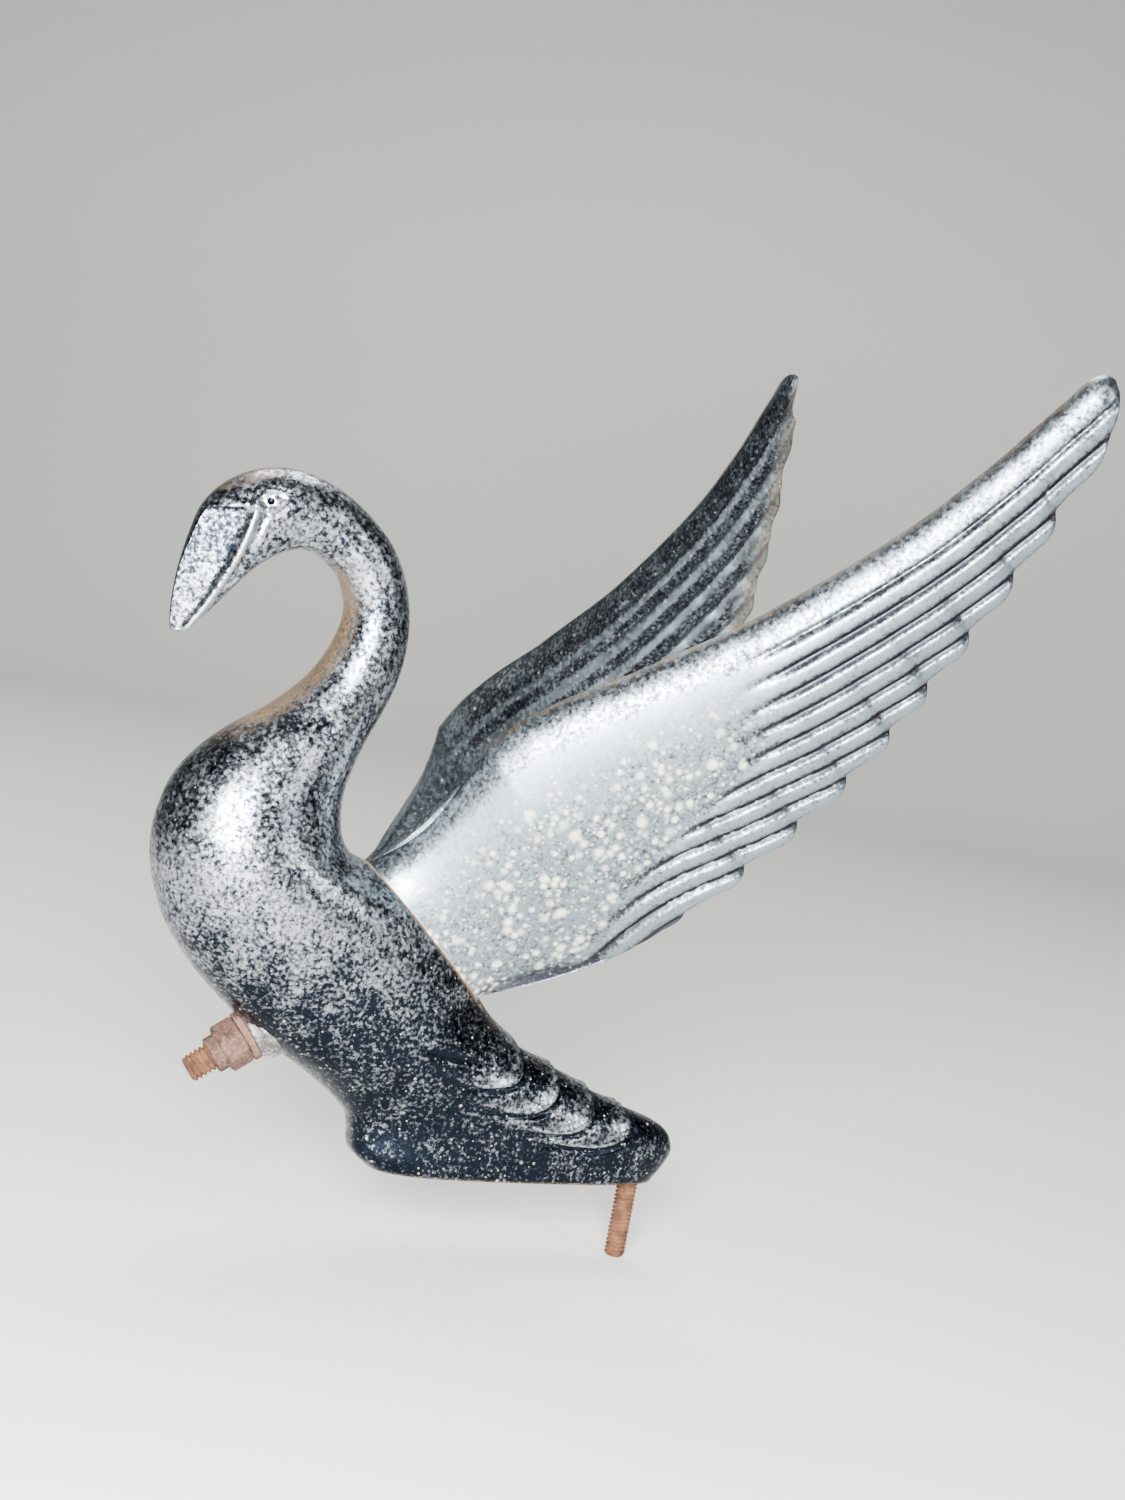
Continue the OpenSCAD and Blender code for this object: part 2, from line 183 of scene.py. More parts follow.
def grid_normals(grid: np.ndarray) -> np.ndarray:
    """Outward unit normals of a grid of closed rings, by differences along and round it."""
    along = np.gradient(grid, axis=0)
    around = np.roll(grid, -1, axis=1) - np.roll(grid, 1, axis=1)
    n = unit(np.cross(along, around))
    outward = ((grid - grid.mean(axis=1, keepdims=True)) * n).sum(-1)
    return n * np.sign(np.median(outward))


def skin(
    name: str, grid: np.ndarray, poles: tuple[np.ndarray, np.ndarray] | None = None, crease: float = 48.0,
    marks: dict[str, np.ndarray] | None = None,
) -> bpy.types.Object:
    """Closed mesh over rings of points: neighbours join in quads, and a pole closes each end.

    Args:
        name: Name of the piece.
        grid: Ring points in millimetres, of shape (rings, points, 3).
        poles: The two end points; without them the last ring joins the first.
        crease: Angle in degrees above which an edge is sharp.
        marks: Float attributes by name, each of shape (rings, points).

    Returns:
        The new object, in metres, with its faces outward.
    """
    rings, count = grid.shape[:2]
    index = np.arange(rings * count).reshape(rings, count)
    here, there = (index[:-1], index[1:]) if poles else (index, np.roll(index, -1, axis=0))
    quads = np.stack([here, np.roll(here, -1, 1), np.roll(there, -1, 1), there], -1).reshape(-1, 4)
    points, tris = grid.reshape(-1, 3), np.zeros((0, 3), int)
    if poles:
        points = np.vstack([points, poles[0], poles[1]])
        first, last = index[0], index[-1]
        tris = np.vstack([
            np.stack([np.roll(first, -1), first, np.full(count, rings * count)], -1),
            np.stack([last, np.roll(last, -1), np.full(count, rings * count + 1)], -1),
        ])
    fans = np.vstack([quads[:, [0, 1, 2]], quads[:, [0, 2, 3]], tris])
    a, b, c = (points[fans[:, k]] for k in range(3))
    if (a * np.cross(b, c)).sum() < 0:
        quads, tris = quads[:, ::-1], tris[:, ::-1]
    mesh = bpy.data.meshes.new(name)
    mesh.vertices.add(len(points))
    mesh.vertices.foreach_set("co", (points * MM).astype(np.float32).ravel())
    corners = np.concatenate([quads.ravel(), tris.ravel()])
    sizes = np.concatenate([np.full(len(quads), 4), np.full(len(tris), 3)])
    mesh.loops.add(len(corners))
    mesh.loops.foreach_set("vertex_index", corners.astype(np.int32))
    mesh.polygons.add(len(sizes))
    mesh.polygons.foreach_set("loop_start", (np.cumsum(sizes) - sizes).astype(np.int32))
    mesh.update(calc_edges=True)
    mesh.polygons.foreach_set("use_smooth", np.ones(len(sizes), bool))
    mesh.set_sharp_from_angle(angle=np.radians(crease))
    for mark, values in (marks or {}).items():
        layer = mesh.attributes.new(mark, "FLOAT", "POINT")
        ends = values[[0, -1]].mean(axis=1) if poles else np.zeros(0)
        layer.data.foreach_set("value", np.concatenate([values.ravel(), ends]).astype(np.float32))
    piece = bpy.data.objects.new(name, mesh)
    bpy.context.scene.collection.objects.link(piece)
    return piece


def place(
    piece: bpy.types.Object, body: Body, slot: Slot, material: bpy.types.Material, *nodes: str
) -> bpy.types.Object:
    """Dresses a piece, lets it ride on its body and hides the CAD nodes that it stands for.

    Args:
        piece: The finished piece.
        body: The body that carries it.
        slot: The record's slot of its finish; not used.
        material: Its material.
        *nodes: CAD nodes that it replaces.

    Returns:
        The same piece.
    """
    piece.data.materials.append(material)
    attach(piece, body.value)
    if nodes:
        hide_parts(*nodes)
    LOG.info("%s: %d faces on %s", piece.name, len(piece.data.polygons), body.value)
    return piece


# ---------------------------------------------------------------- materials


def linear(colour: str) -> tuple[float, float, float, float]:
    """Linear RGBA from an sRGB hex value such as "#d9dce0"."""
    s = np.array([int(colour[k : k + 2], 16) for k in (1, 3, 5)]) / 255
    rgb = np.where(s <= 0.04045, s / 12.92, ((s + 0.055) / 1.055) ** 2.4)
    return (*(float(x) for x in rgb), 1.0)


def add_node(
    tree: bpy.types.NodeTree, kind: str, settings: dict | None = None, **inputs: object
) -> bpy.types.Node:
    """Adds a node with its settings, and fills or links its inputs.

    Args:
        tree: The material's node tree.
        kind: Node type, such as "ShaderNodeMath".
        settings: Properties of the node by name.
        **inputs: Values or output sockets by input name, with _ for a space, or by number as i0, i1.

    Returns:
        The new node.
    """
    node = tree.nodes.new(kind)
    for key, value in (settings or {}).items():
        setattr(node, key, value)
    for key, value in inputs.items():
        socket = node.inputs[int(key[1:])] if key[1:].isdigit() else node.inputs[key.replace("_", " ")]
        if isinstance(value, bpy.types.NodeSocket):
            tree.links.new(value, socket)
        else:
            socket.default_value = value
    return node


@dataclass(frozen=True)
class PittedChrome:
    """Nickel-chrome plate on a die-cast zinc body, pitted by decades of weather.

    The plate is a mirror with a slight orange peel, gone blue-black where tarnished; each piece's darkening
    attribute also lays painted shade and painted highlights into that colour. Fine haze lies over it in
    patches, so the edges of each highlight break up. Where salt got through, the zinc has pushed up pale
    dusty specks, spots and blisters from 0.4 to 3 mm across, and on scuffed edges the brown copper undercoat
    shows; that brown also paints a band of shade on the bird's head. Grains and spacings are in millimetres;
    a radius is a share of its spacing. A cell whose chance number, from 0 to 1, is under least_chance has no
    spot, and below 0 every cell has one.
    """

    name: str
    chrome: str = "#aeb4bb"
    tarnish_and_shade: str = "#161b24"
    oxide: str = "#bdbbb0"
    # Undercoat brown, also used for a band of painted shade over the beak plate.
    copper: str = "#a08768"
    clear: float = 0.21
    hazed: float = 0.46
    cloud_grain: float = 9.0
    frost_grain: float = 1.15
    haze_grain: float = 1.6
    speck_spacing: float = 1.5
    spot_spacing: float = 2.7
    blotch_spacing: float = 5.2
    speck_radius: float = 0.36
    spot_radius: float = 0.32
    blotch_radius: float = 0.24
    softness: float = 0.20
    least_chance: float = 0.25
    dust_cover: float = 0.85
    dust_rough: float = 0.6
    dust_metal: float = 0.3
    frost_share: float = 0.72
    dark_range: tuple[float, float] = (0.86, 1.14)
    brown_range: tuple[float, float] = (0.85, 1.3)
    haze_range: tuple[float, float] = (0.40, 0.64)
    peel_grain: float = 2.2
    peel_depth: float = 0.03
    blister_height: float = 0.07

    def spots(
        self, tree: bpy.types.NodeTree, at: bpy.types.NodeSocket, amount: bpy.types.NodeSocket,
        spacing: float, radius: float,
    ) -> bpy.types.NodeSocket:
        """Round soft-edged spots, one to a cell, each with a chance radius of its own.

        Args:
            tree: The material's node tree.
            at: Object coordinates.
            amount: Share of the largest radius, from 0 to 1, as it varies over the piece.
            spacing: Distance between spots in millimetres.
            radius: Largest radius as a share of the spacing.

        Returns:
            1 in the middle of a spot and 0 outside.
        """
        cells = add_node(tree, "ShaderNodeTexVoronoi", Vector=at, Scale=1 / (spacing * MM))
        chance = add_node(tree, "ShaderNodeSeparateColor", Color=cells.outputs["Color"]).outputs[0]
        reach = add_node(tree, "ShaderNodeMapRange", Value=chance, From_Min=self.least_chance,
                         To_Max=radius).outputs[0]
        grown = add_node(tree, "ShaderNodeMath", MULTIPLY, i0=reach, i1=amount).outputs[0]
        inside = add_node(tree, "ShaderNodeMath", SUBTRACT, i0=grown,
                          i1=cells.outputs["Distance"]).outputs[0]
        return add_node(tree, "ShaderNodeMapRange", SMOOTH, Value=inside, From_Max=self.softness).outputs[0]

    def make(self) -> bpy.types.Material:
        """The material, which reads its piece's three attributes: wear with a band of painted shade, pitting,
        and darkening with painted shade and painted highlights in it.
        """
        material = bpy.data.materials.new(self.name)
        material.use_nodes = True
        tree = material.node_tree
        shader = tree.nodes["Principled BSDF"]
        at = add_node(tree, "ShaderNodeTexCoord").outputs["Object"]
        wear_and_shade, pitting, tarnish_and_shade = (
            add_node(tree, "ShaderNodeAttribute", {"attribute_name": mark}).outputs["Fac"]
            for mark in ("wear_and_shade", "pitting", "tarnish_and_shade")
        )
        cloud, frost, haze, peel = (
            add_node(tree, "ShaderNodeTexNoise", Vector=at, Scale=1 / (grain * MM), Detail=detail,
                     Roughness=0.62).outputs["Fac"]
            for grain, detail in ((self.cloud_grain, 2.0), (self.frost_grain, 3.0), (self.haze_grain, 3.0),
                                  (self.peel_grain, 1.0))
        )
        # Tarnish comes in clouds whose borders break up into frost.
        mottle = add_node(tree, "ShaderNodeMix", NUMBERS, i0=self.frost_share, i2=cloud, i3=frost).outputs[0]
        # The piece's darkening attribute also holds painted shade and painted highlights, which darken or
        # lighten the plate.
        depth = add_node(tree, "ShaderNodeMath", ADD, i0=mottle, i1=tarnish_and_shade).outputs[0]
        dark = add_node(tree, "ShaderNodeMapRange", SMOOTH, Value=depth, From_Min=self.dark_range[0],
                        From_Max=self.dark_range[1]).outputs[0]
        metal = add_node(tree, "ShaderNodeMix", COLOURS, i0=dark, i6=linear(self.chrome),
                         i7=linear(self.tarnish_and_shade)).outputs[2]
        # The undercoat shows where wear and frost add up; on the bird's head the same brown paints a band of
        # shade over the beak plate.
        rubbed_and_shaded = add_node(tree, "ShaderNodeMath", ADD, i0=wear_and_shade, i1=frost).outputs[0]
        brown = add_node(tree, "ShaderNodeMapRange", SMOOTH, Value=rubbed_and_shaded, From_Min=self.brown_range[0],
                         From_Max=self.brown_range[1]).outputs[0]
        plate = add_node(tree, "ShaderNodeMix", COLOURS, i0=brown, i6=metal,
                         i7=linear(self.copper)).outputs[2]
        # Dusty oxide stands on the plate in three sizes.
        specks = self.spots(tree, at, pitting, self.speck_spacing, self.speck_radius)
        spots = self.spots(tree, at, pitting, self.spot_spacing, self.spot_radius)
        blotches = self.spots(tree, at, pitting, self.blotch_spacing, self.blotch_radius)
        small = add_node(tree, "ShaderNodeMath", MAXIMUM, i0=specks, i1=spots).outputs[0]
        spot = add_node(tree, "ShaderNodeMath", MAXIMUM, i0=small, i1=blotches).outputs[0]
        dust = add_node(tree, "ShaderNodeMath", MULTIPLY, i0=spot, i1=self.dust_cover).outputs[0]
        colour = add_node(tree, "ShaderNodeMix", COLOURS, i0=dust, i6=plate,
                          i7=linear(self.oxide)).outputs[2]
        # Haze and dust take the shine off.
        veil = add_node(tree, "ShaderNodeMapRange", SMOOTH, Value=haze, From_Min=self.haze_range[0],
                        From_Max=self.haze_range[1], To_Min=self.clear, To_Max=self.hazed).outputs[0]
        dulled = add_node(tree, "ShaderNodeMath", MAXIMUM, i0=dust, i1=brown).outputs[0]
        roughness = add_node(tree, "ShaderNodeMix", NUMBERS, i0=dulled, i2=veil,
                             i3=self.dust_rough).outputs[0]
        metallic = add_node(tree, "ShaderNodeMapRange", Value=dust, To_Min=1.0,
                            To_Max=self.dust_metal).outputs[0]
        blister = add_node(tree, "ShaderNodeMath", MULTIPLY, i0=spot, i1=self.blister_height).outputs[0]
        height = add_node(tree, "ShaderNodeMath", {"operation": "MULTIPLY_ADD"}, i0=peel, i1=self.peel_depth,
                          i2=blister).outputs[0]
        bump = add_node(tree, "ShaderNodeBump", Distance=MM, Height=height).outputs["Normal"]
        for socket, value in (("Base Color", colour), ("Metallic", metallic), ("Roughness", roughness),
                              ("Normal", bump)):
            tree.links.new(value, shader.inputs[socket])
        return material


@dataclass(frozen=True)
class RustedSteel:
    """Plain steel hardware under a dry, even coat of red-brown rust.

    Rust is powdery and dead matt. It is orange-tan where it is fresh and thin, and dark brown where it is
    thick, in patches laid by noise, with a few pale scraped spots. Grains are in millimetres.
    """

    name: str
    fresh: str = "#6b452d"
    old: str = "#3a2317"
    scraped: str = "#8a6c50"
    scraped_share: float = 0.2
    coat_grain: float = 4.0
    grit_grain: float = 1.1
    grit_depth: float = 0.10
    coat_range: tuple[float, float] = (0.38, 0.62)
    rough: float = 0.82
    specular: float = 0.3

    def make(self) -> bpy.types.Material:
        """The material, whose patterns are scaled in millimetres of object space."""
        material = bpy.data.materials.new(self.name)
        material.use_nodes = True
        tree = material.node_tree
        shader = tree.nodes["Principled BSDF"]
        at = add_node(tree, "ShaderNodeTexCoord").outputs["Object"]
        coat, grit = (
            add_node(tree, "ShaderNodeTexNoise", Vector=at, Scale=1 / (grain * MM), Detail=5.0,
                     Roughness=0.65).outputs["Fac"]
            for grain in (self.coat_grain, self.grit_grain)
        )
        thick = add_node(tree, "ShaderNodeMapRange", Value=coat, From_Min=self.coat_range[0],
                         From_Max=self.coat_range[1]).outputs[0]
        rub = add_node(tree, "ShaderNodeMapRange", Value=grit, From_Min=0.66 - 0.2 * self.scraped_share,
                       From_Max=0.72).outputs[0]
        rust = add_node(tree, "ShaderNodeMix", COLOURS, i0=thick, i6=linear(self.fresh),
                        i7=linear(self.old)).outputs[2]
        colour = add_node(tree, "ShaderNodeMix", COLOURS, i0=rub, i6=rust,
                          i7=linear(self.scraped)).outputs[2]
        bump = add_node(tree, "ShaderNodeBump", Strength=0.9, Distance=self.grit_depth * MM, Height=grit)
        tree.links.new(colour, shader.inputs["Base Color"])
        tree.links.new(bump.outputs["Normal"], shader.inputs["Normal"])
        shader.inputs["Roughness"].default_value = self.rough
        shader.inputs["Specular IOR Level"].default_value = self.specular
        return material


@dataclass(frozen=True)
class StudioPaper:
    """Seamless background paper: pale, even and matt."""

    colour: str = "#d9d8d5"
    rough: float = 0.9

    def make(self) -> bpy.types.Material:
        """The material of the floor and its sweep."""
        material = bpy.data.materials.new("studio_paper")
        material.use_nodes = True
        shader = material.node_tree.nodes["Principled BSDF"]
        shader.inputs["Base Color"].default_value = linear(self.colour)
        shader.inputs["Roughness"].default_value = self.rough
        return material


# ---------------------------------------------------------------- the joint and the clamp axis


@dataclass(frozen=True)
class Clamp:
    """The flat joint between the castings and the axis of the stud that clamps them, in millimetres."""

    front: tuple[float, float] = (-101.0, 87.0)
    rear: tuple[float, float] = (-62.0, 51.0)
    tilt: float = 36.9
    breast_reach: float = 54.1
    pad_height: float = 2.2
    face_gap: float = 0.02
    washer_thick: float = 2.0

    @property
    def mid(self) -> np.ndarray:
        """Middle of the joint, as (x, z)."""
        return (np.array(self.front) + np.array(self.rear)) / 2

    @property
    def length(self) -> float:
        """Length of the joint in the middle plane."""
        return float(np.linalg.norm(np.array(self.rear) - np.array(self.front)))

    @property
    def along(self) -> np.ndarray:
        """Direction of the joint from front to rear, as (x, z)."""
        return (np.array(self.rear) - np.array(self.front)) / self.length

    @property
    def out(self) -> np.ndarray:
        """Direction out of the joint towards the wings, as (x, z)."""
        return np.array([-self.along[1], self.along[0]])

    @property
    def mid3(self) -> np.ndarray:
        """Middle of the joint, as (x, y, z)."""
        return np.array([self.mid[0], 0.0, self.mid[1]])

    @property
    def axis(self) -> np.ndarray:
        """Direction of the clamp stud from the joint out through the breast."""
        tilt = np.radians(self.tilt)
        return np.array([-np.cos(tilt), 0.0, -np.sin(tilt)])

    @property
    def washer_seat(self) -> float:
        """Distance of the pad's face from the middle of the joint, along the stud."""
        return self.breast_reach + self.pad_height

    @property
    def nut_seat(self) -> float:
        """Distance of the nut's face from the middle of the joint, along the stud."""
        return self.washer_seat + self.washer_thick + 2 * self.face_gap

    def turned(self, radius: np.ndarray, angle: np.ndarray, reach: np.ndarray) -> np.ndarray:
        """Points round the clamp axis.

        Args:
            radius: Distances from the axis.
            angle: Angles round it in radians, from up-and-forward towards +Y.
            reach: Distances along it from the middle of the joint.

        Returns:
            Points of shape (..., 3).
        """
        across = np.array([self.axis[2], 0, -self.axis[0]])
        return (
            self.mid3 + reach[..., None] * self.axis + (radius * np.cos(angle))[..., None] * across
            + (radius * np.sin(angle))[..., None] * np.array([0.0, 1.0, 0.0])
        )


# ---------------------------------------------------------------- bird


@dataclass
class BodyCasting:
    """The bird: foot, tail, breast, neck and head in one hollow casting, open at the foot."""

    clamp: Clamp
    material: bpy.types.Material
    wall: float = 3.0
    seat_wall: float = 5.0
    round_points: int = 144
    body_rings: int = 330
    head_rings: int = 270
    inner_rings: int = 36
    seat_points: int = 10
    hollow_rows: float = 13.4
    spot_face: float = 17.9
    neck_row: float = 22.0
    feather_lip: float = 1.5
    feather_dip: float = 0.8
    feather_sink: float = 4.5
    quill_depth: float = 0.9
    bead_height: float = 0.85
    knob_height: float = 0.8
    lid_height: float = 0.75
    ball_height: float = 0.55
    pupil_depth: float = 0.8
    throat_lip: float = 0.45
    lip_angle: float = 0.62

    # Slanting sections from the foot to the tip of the beak, the same as the CAD model's: [rear x, rear z,
    # front x, front z, half width, squareness, taper, bulge of the back before the seat is cut].
    SECTIONS = np.array([
        [6, 0, -86, 0, 12, 3.0, -0.20, 0],
        [9.8, 5.5, -91, 4, 12, 3.0, -0.20, 0],
        [11.5, 11, -92.5, 10, 12, 2.8, -0.18, 0],
        [6, 17.5, -94.5, 15, 12.5, 2.6, -0.16, 0],
        [-14, 24, -100, 20, 13.5, 2.4, -0.14, 0],
        [-30, 31, -107, 25, 15, 2.3, -0.12, 0],
        [-47, 39, -116, 30.5, 17, 2.2, -0.10, 0],
        [-62, 51, -127, 37.5, 18.5, 2.2, -0.06, 2],
        [-71, 59.5, -138, 46, 20, 2.2, -0.04, 7],
        [-81.5, 69, -148, 55.5, 21.2, 2.2, -0.04, 9],
        [-91, 78, -156, 66, 22, 2.2, -0.04, 7],
        [-101, 87, -161, 77.5, 22, 2.1, -0.02, 1],
        [-107.5, 90.5, -163, 88, 21.4, 2.0, 0, 0],
        [-111, 96.5, -162, 97.5, 20, 2.0, 0, 0],
        [-112, 105.5, -159.5, 105.5, 18.3, 2.0, 0, 0],
        [-110.4, 114.5, -154, 113.5, 16.2, 2.0, 0, 0],
        [-108, 122, -146, 121, 14, 2.0, 0, 0],
        [-105, 129.5, -137, 127.5, 12, 2.0, 0, 0],
        [-102.3, 138, -127.5, 137, 10.8, 2.0, 0, 0],
        [-101, 147, -122.1, 147, 9.9, 2.0, 0, 0],
        [-101.4, 156, -120.3, 156, 9.4, 2.0, 0, 0],
        [-104, 166, -123, 164, 9.2, 2.0, 0, 0],
        [-109, 175, -127, 168, 9.2, 2.0, 0, 0],
        [-115.5, 181.5, -131, 170.3, 9.2, 2.0, 0, 0],
        [-124, 187.3, -135.5, 171, 9.2, 2.0, 0, 0],
        [-133, 190.8, -140, 169.5, 9.4, 2.0, 0, 0],
        [-142, 192, -144, 167, 9.6, 2.0, 0, 0],
        [-151, 190.2, -147.5, 164, 9.4, 2.1, 0, 0],
        [-158.5, 185.8, -150.5, 160.5, 8.8, 2.2, 0, 0],
        [-164, 179, -153.5, 156.5, 7.8, 2.3, 0, 0],
        [-166.5, 170, -157, 151.8, 6.6, 2.3, 0, 0],
        [-168, 160.5, -160.5, 147.4, 5.2, 2.2, 0, 0],
        [-168.3, 152, -163.3, 144.3, 3.6, 2.1, 0, 0],
        [-168, 146.5, -165.3, 143.4, 1.8, 2.0, 0, 0],
    ])
    BEAK_TIP = (-167.3, 144.0)

    # Lines of the head and tail in side view, as (x, z).
    MOUTH = ((-151.6, 180.0), (-154.6, 166.7), (-159.3, 154.2), (-164.4, 144.0))
    PLATE_TOP = ((-170.0, 177.6), (-160.0, 178.9), (-149.0, 180.2))
    EYE = (-148.1, 182.5)
    EYE_HALF = (4.3, 2.3)
    EYE_SLOPE = 23.7
    KNOB = (-153.6, 180.4)
    FEATHER_ENDS = (
        ((-49.5, 42.5), (-46.3, 35.5), (-48.5, 30.2), (-56.0, 28.4), (-66.0, 29.4), (-75.0, 32.5)),
        ((-37.4, 39.0), (-33.6, 31.5), (-35.0, 25.0), (-43.0, 21.2), (-58.0, 22.8), (-76.0, 27.5)),
        ((-24.4, 32.5), (-20.6, 25.5), (-22.0, 19.0), (-31.0, 15.6), (-48.0, 17.2), (-66.0, 21.0)),
        ((-10.8, 26.0), (-7.2, 19.0), (-10.0, 14.0), (-20.0, 11.6), (-38.0, 13.4), (-62.0, 19.0)),
    )
    QUILL = ((-82.0, 39.5), (-70.0, 36.6), (-56.5, 35.4))

    def section(self, rear: np.ndarray, front: np.ndarray, rows: np.ndarray, angle: np.ndarray) -> np.ndarray:
        """Rounded sections: u and v are the powers 2/squareness of cosine and sine, u runs from the front end
        to the rear end, and v is a share of the half width, which the taper narrows towards the rear.

        Args:
            rear: Rear ends (x, z), of shape (k, 2).
            front: Front ends, of the same shape.
            rows: Their table rows, of shape (k, 8), whose half width may be changed.
            angle: Angles round the section, of shape (k, points).

        Returns:
            Points of shape (k, points, 3).
        """
        power = 2 / rows[:, 5:6]
        c, s = np.cos(angle), np.sin(angle)
        u = np.sign(c) * np.abs(c) ** power
        v = np.sign(s) * np.abs(s) ** power
        flat = ((rear + front) / 2)[:, None] + ((rear - front) / 2)[:, None] * u[..., None]
        y = rows[:, 4:5] * v * (1 + rows[:, 6:7] * u)
        return np.stack([flat[..., 0], y, flat[..., 1]], -1)

    def outer(self, at: np.ndarray) -> np.ndarray:
        """Rings of the outer skin at fractional rows, with the back cut flat for the wings. One point of each
        ring falls exactly on the edge of that flat, so the edge is a clean line."""
        rows = spline_rows(self.SECTIONS, at)
        rear, front = rows[:, 0:2], rows[:, 2:4]
        rear = rear + unit(rear - front) * np.maximum(rows[:, 7:8], 0)
        middle, half = (rear + front) / 2, (rear - front) / 2
        high, rise = (middle - self.clamp.mid) @ self.clamp.out, half @ self.clamp.out
        crossing = np.clip(-high / np.maximum(rise, 1e-6), 0, 1)
        where = (middle + half * crossing[:, None] - self.clamp.mid) @ self.clamp.along
        seated = (crossing < 1) & (np.abs(where) < self.clamp.length / 2) & (rise > 0)
        cut = np.arccos(crossing ** (rows[:, 5] / 2))
        half_points = self.round_points // 2
        plain = np.pi * self.seat_points / half_points
        ends = at[seated][[0, -1]] if seated.any() else np.zeros(2)
        away = np.maximum(ends[0] - at, at - ends[1])
        split = np.where(seated, cut, 0.06 + (plain - 0.06) * smooth(away, 0.0, 2.5))
        k = np.arange(half_points + 1)
        share = np.minimum(k / self.seat_points, 1)
        rest = np.maximum(k - self.seat_points, 0) / (half_points - self.seat_points)
        angle = split[:, None] * share + (np.pi - split[:, None]) * rest
        angle = np.concatenate([angle, 2 * np.pi - angle[:, -2:0:-1]], axis=1)
        ring = self.section(rear, front, rows, angle)
        above = (ring[..., [0, 2]] - self.clamp.mid) @ self.clamp.out
        drop = np.where(seated[:, None], np.maximum(above, 0), 0)[..., None] * self.clamp.out
        ring[..., [0, 2]] -= drop
        return ring

    def inner(self, at: np.ndarray) -> np.ndarray:
        """Rings of the hollow: the sections shortened at both ends and narrowed by the wall."""
        rows = spline_rows(self.SECTIONS, at)
        before = spline_rows(self.SECTIONS, np.maximum(at - 0.5, 0))
        after = spline_rows(self.SECTIONS, at + 0.5)
        rear, front = rows[:, 0:2], rows[:, 2:4]
        d = unit(rear - front)

        def step(thick: np.ndarray, tangent: np.ndarray) -> np.ndarray:
            """Step along the section that gives the wall its thickness square to the outline."""
            t = unit(tangent)
            return (thick / np.maximum(0.5, np.abs(d[:, 0] * t[:, 1] - d[:, 1] * t[:, 0])))[:, None]

        seat = np.where(rows[:, 7] > 0.5, self.seat_wall, self.wall)
        rows = rows.copy()
        rows[:, 4] -= self.wall
        angle = np.broadcast_to(np.arange(self.round_points) * 2 * np.pi / self.round_points,
                                (len(at), self.round_points))
        return self.section(
            rear - d * step(seat, after[:, 0:2] - before[:, 0:2]),
            front + d * step(np.full(len(at), self.wall), after[:, 2:4] - before[:, 2:4]), rows, angle)

    def spot_faced(self, ring: np.ndarray) -> np.ndarray:
        """The same rings with the breast cut flat round the washer's pad, at the height of its face."""
        axis = self.clamp.axis
        reach = (ring - self.clamp.mid3) @ axis
        beside = np.linalg.norm(ring - self.clamp.mid3 - reach[..., None] * axis, axis=-1)
        over = np.where(beside < self.spot_face / 2, np.maximum(reach - self.clamp.washer_seat, 0), 0)
        return ring - over[..., None] * axis

    def plumage(self, x: np.ndarray, z: np.ndarray) -> np.ndarray:
        """Height of the tail's feathers. Each feather stands proud along its rounded end and sinks away from
        it over some millimetres, and just outside the end there is a narrow dip."""
        height = np.zeros_like(x)
        near = (x > -95) & (z < 60)
        for points in self.FEATHER_ENDS:
            gap, share = beside_path(x[near], z[near], path_through(points))
            inside = -gap
            fade = smooth(1 - share, 0.0, 0.45)
            sunk = np.exp(-np.maximum(inside, 0) / self.feather_sink)
            lip = self.feather_lip * smooth(inside, -0.35, 0.45) * sunk
            dip = -self.feather_dip * np.exp(-((inside + 1.0) / 0.9) ** 2)
            height[near] += (lip + dip) * fade
        gap, share = beside_path(x[near], z[near], path_through(self.QUILL))
        ends = smooth(share, 0.0, 0.25) * smooth(1 - share, 0.0, 0.25)
        height[near] -= self.quill_depth * np.exp(-gap**2) * ends
        return height

    def eye(self, x: np.ndarray, z: np.ndarray) -> tuple[np.ndarray, np.ndarray]:
        """How far side-view points lie out from the eye, as a share of its almond outline, and their distance
        from the pupil in millimetres."""
        slope = np.radians(self.EYE_SLOPE)
        ex, ez = x - self.EYE[0], z - self.EYE[1]
        e = (ex * np.cos(slope) + ez * np.sin(slope)) / self.EYE_HALF[0]
        f = (ez * np.cos(slope) - ex * np.sin(slope)) / self.EYE_HALF[1]
        almond = np.hypot(e * (1 - 0.1 * np.abs(e)), f / np.clip(1 - 0.35 * e**2, 0.2, 1))
        return almond, np.hypot(ex + 0.3, ez)

    def features(self, x: np.ndarray, z: np.ndarray, row: np.ndarray) -> np.ndarray:
        """Height of the head's raised lines: mouth bead, knob, eye and rolled lip of the throat."""
        height = np.zeros_like(x)
        near = row > self.neck_row - 3
        hx, hz = x[near], z[near]
        gap, share = beside_path(hx, hz, path_through(self.MOUTH))
        bead = self.bead_height * np.exp(-(gap / (1.25 - 0.4 * share)) ** 2) * smooth(1.0 - share, 0.0, 0.08)
        behind = -0.40 * np.exp(-((gap - 2.4) / 1.0) ** 2) * smooth(1.0 - share, 0.0, 0.3)
        off_knob = ((hx - self.KNOB[0]) / 2.0) ** 2 + ((hz - self.KNOB[1]) / 1.1) ** 2
        knob = self.knob_height * np.exp(-off_knob)
        almond, pupil = self.eye(hx, hz)
        lid = self.lid_height * np.exp(-((almond - 0.95) / 0.22) ** 2)
        ball = self.ball_height * np.clip(1 - (almond / 0.8) ** 2, 0, 1)
        pupil = -self.pupil_depth * np.exp(-(pupil**2) / 0.7)
        socket = -0.35 * np.exp(-((almond - 1.45) / 0.3) ** 2)
        height[near] = bead + behind + knob + lid + ball + pupil + socket
        return height

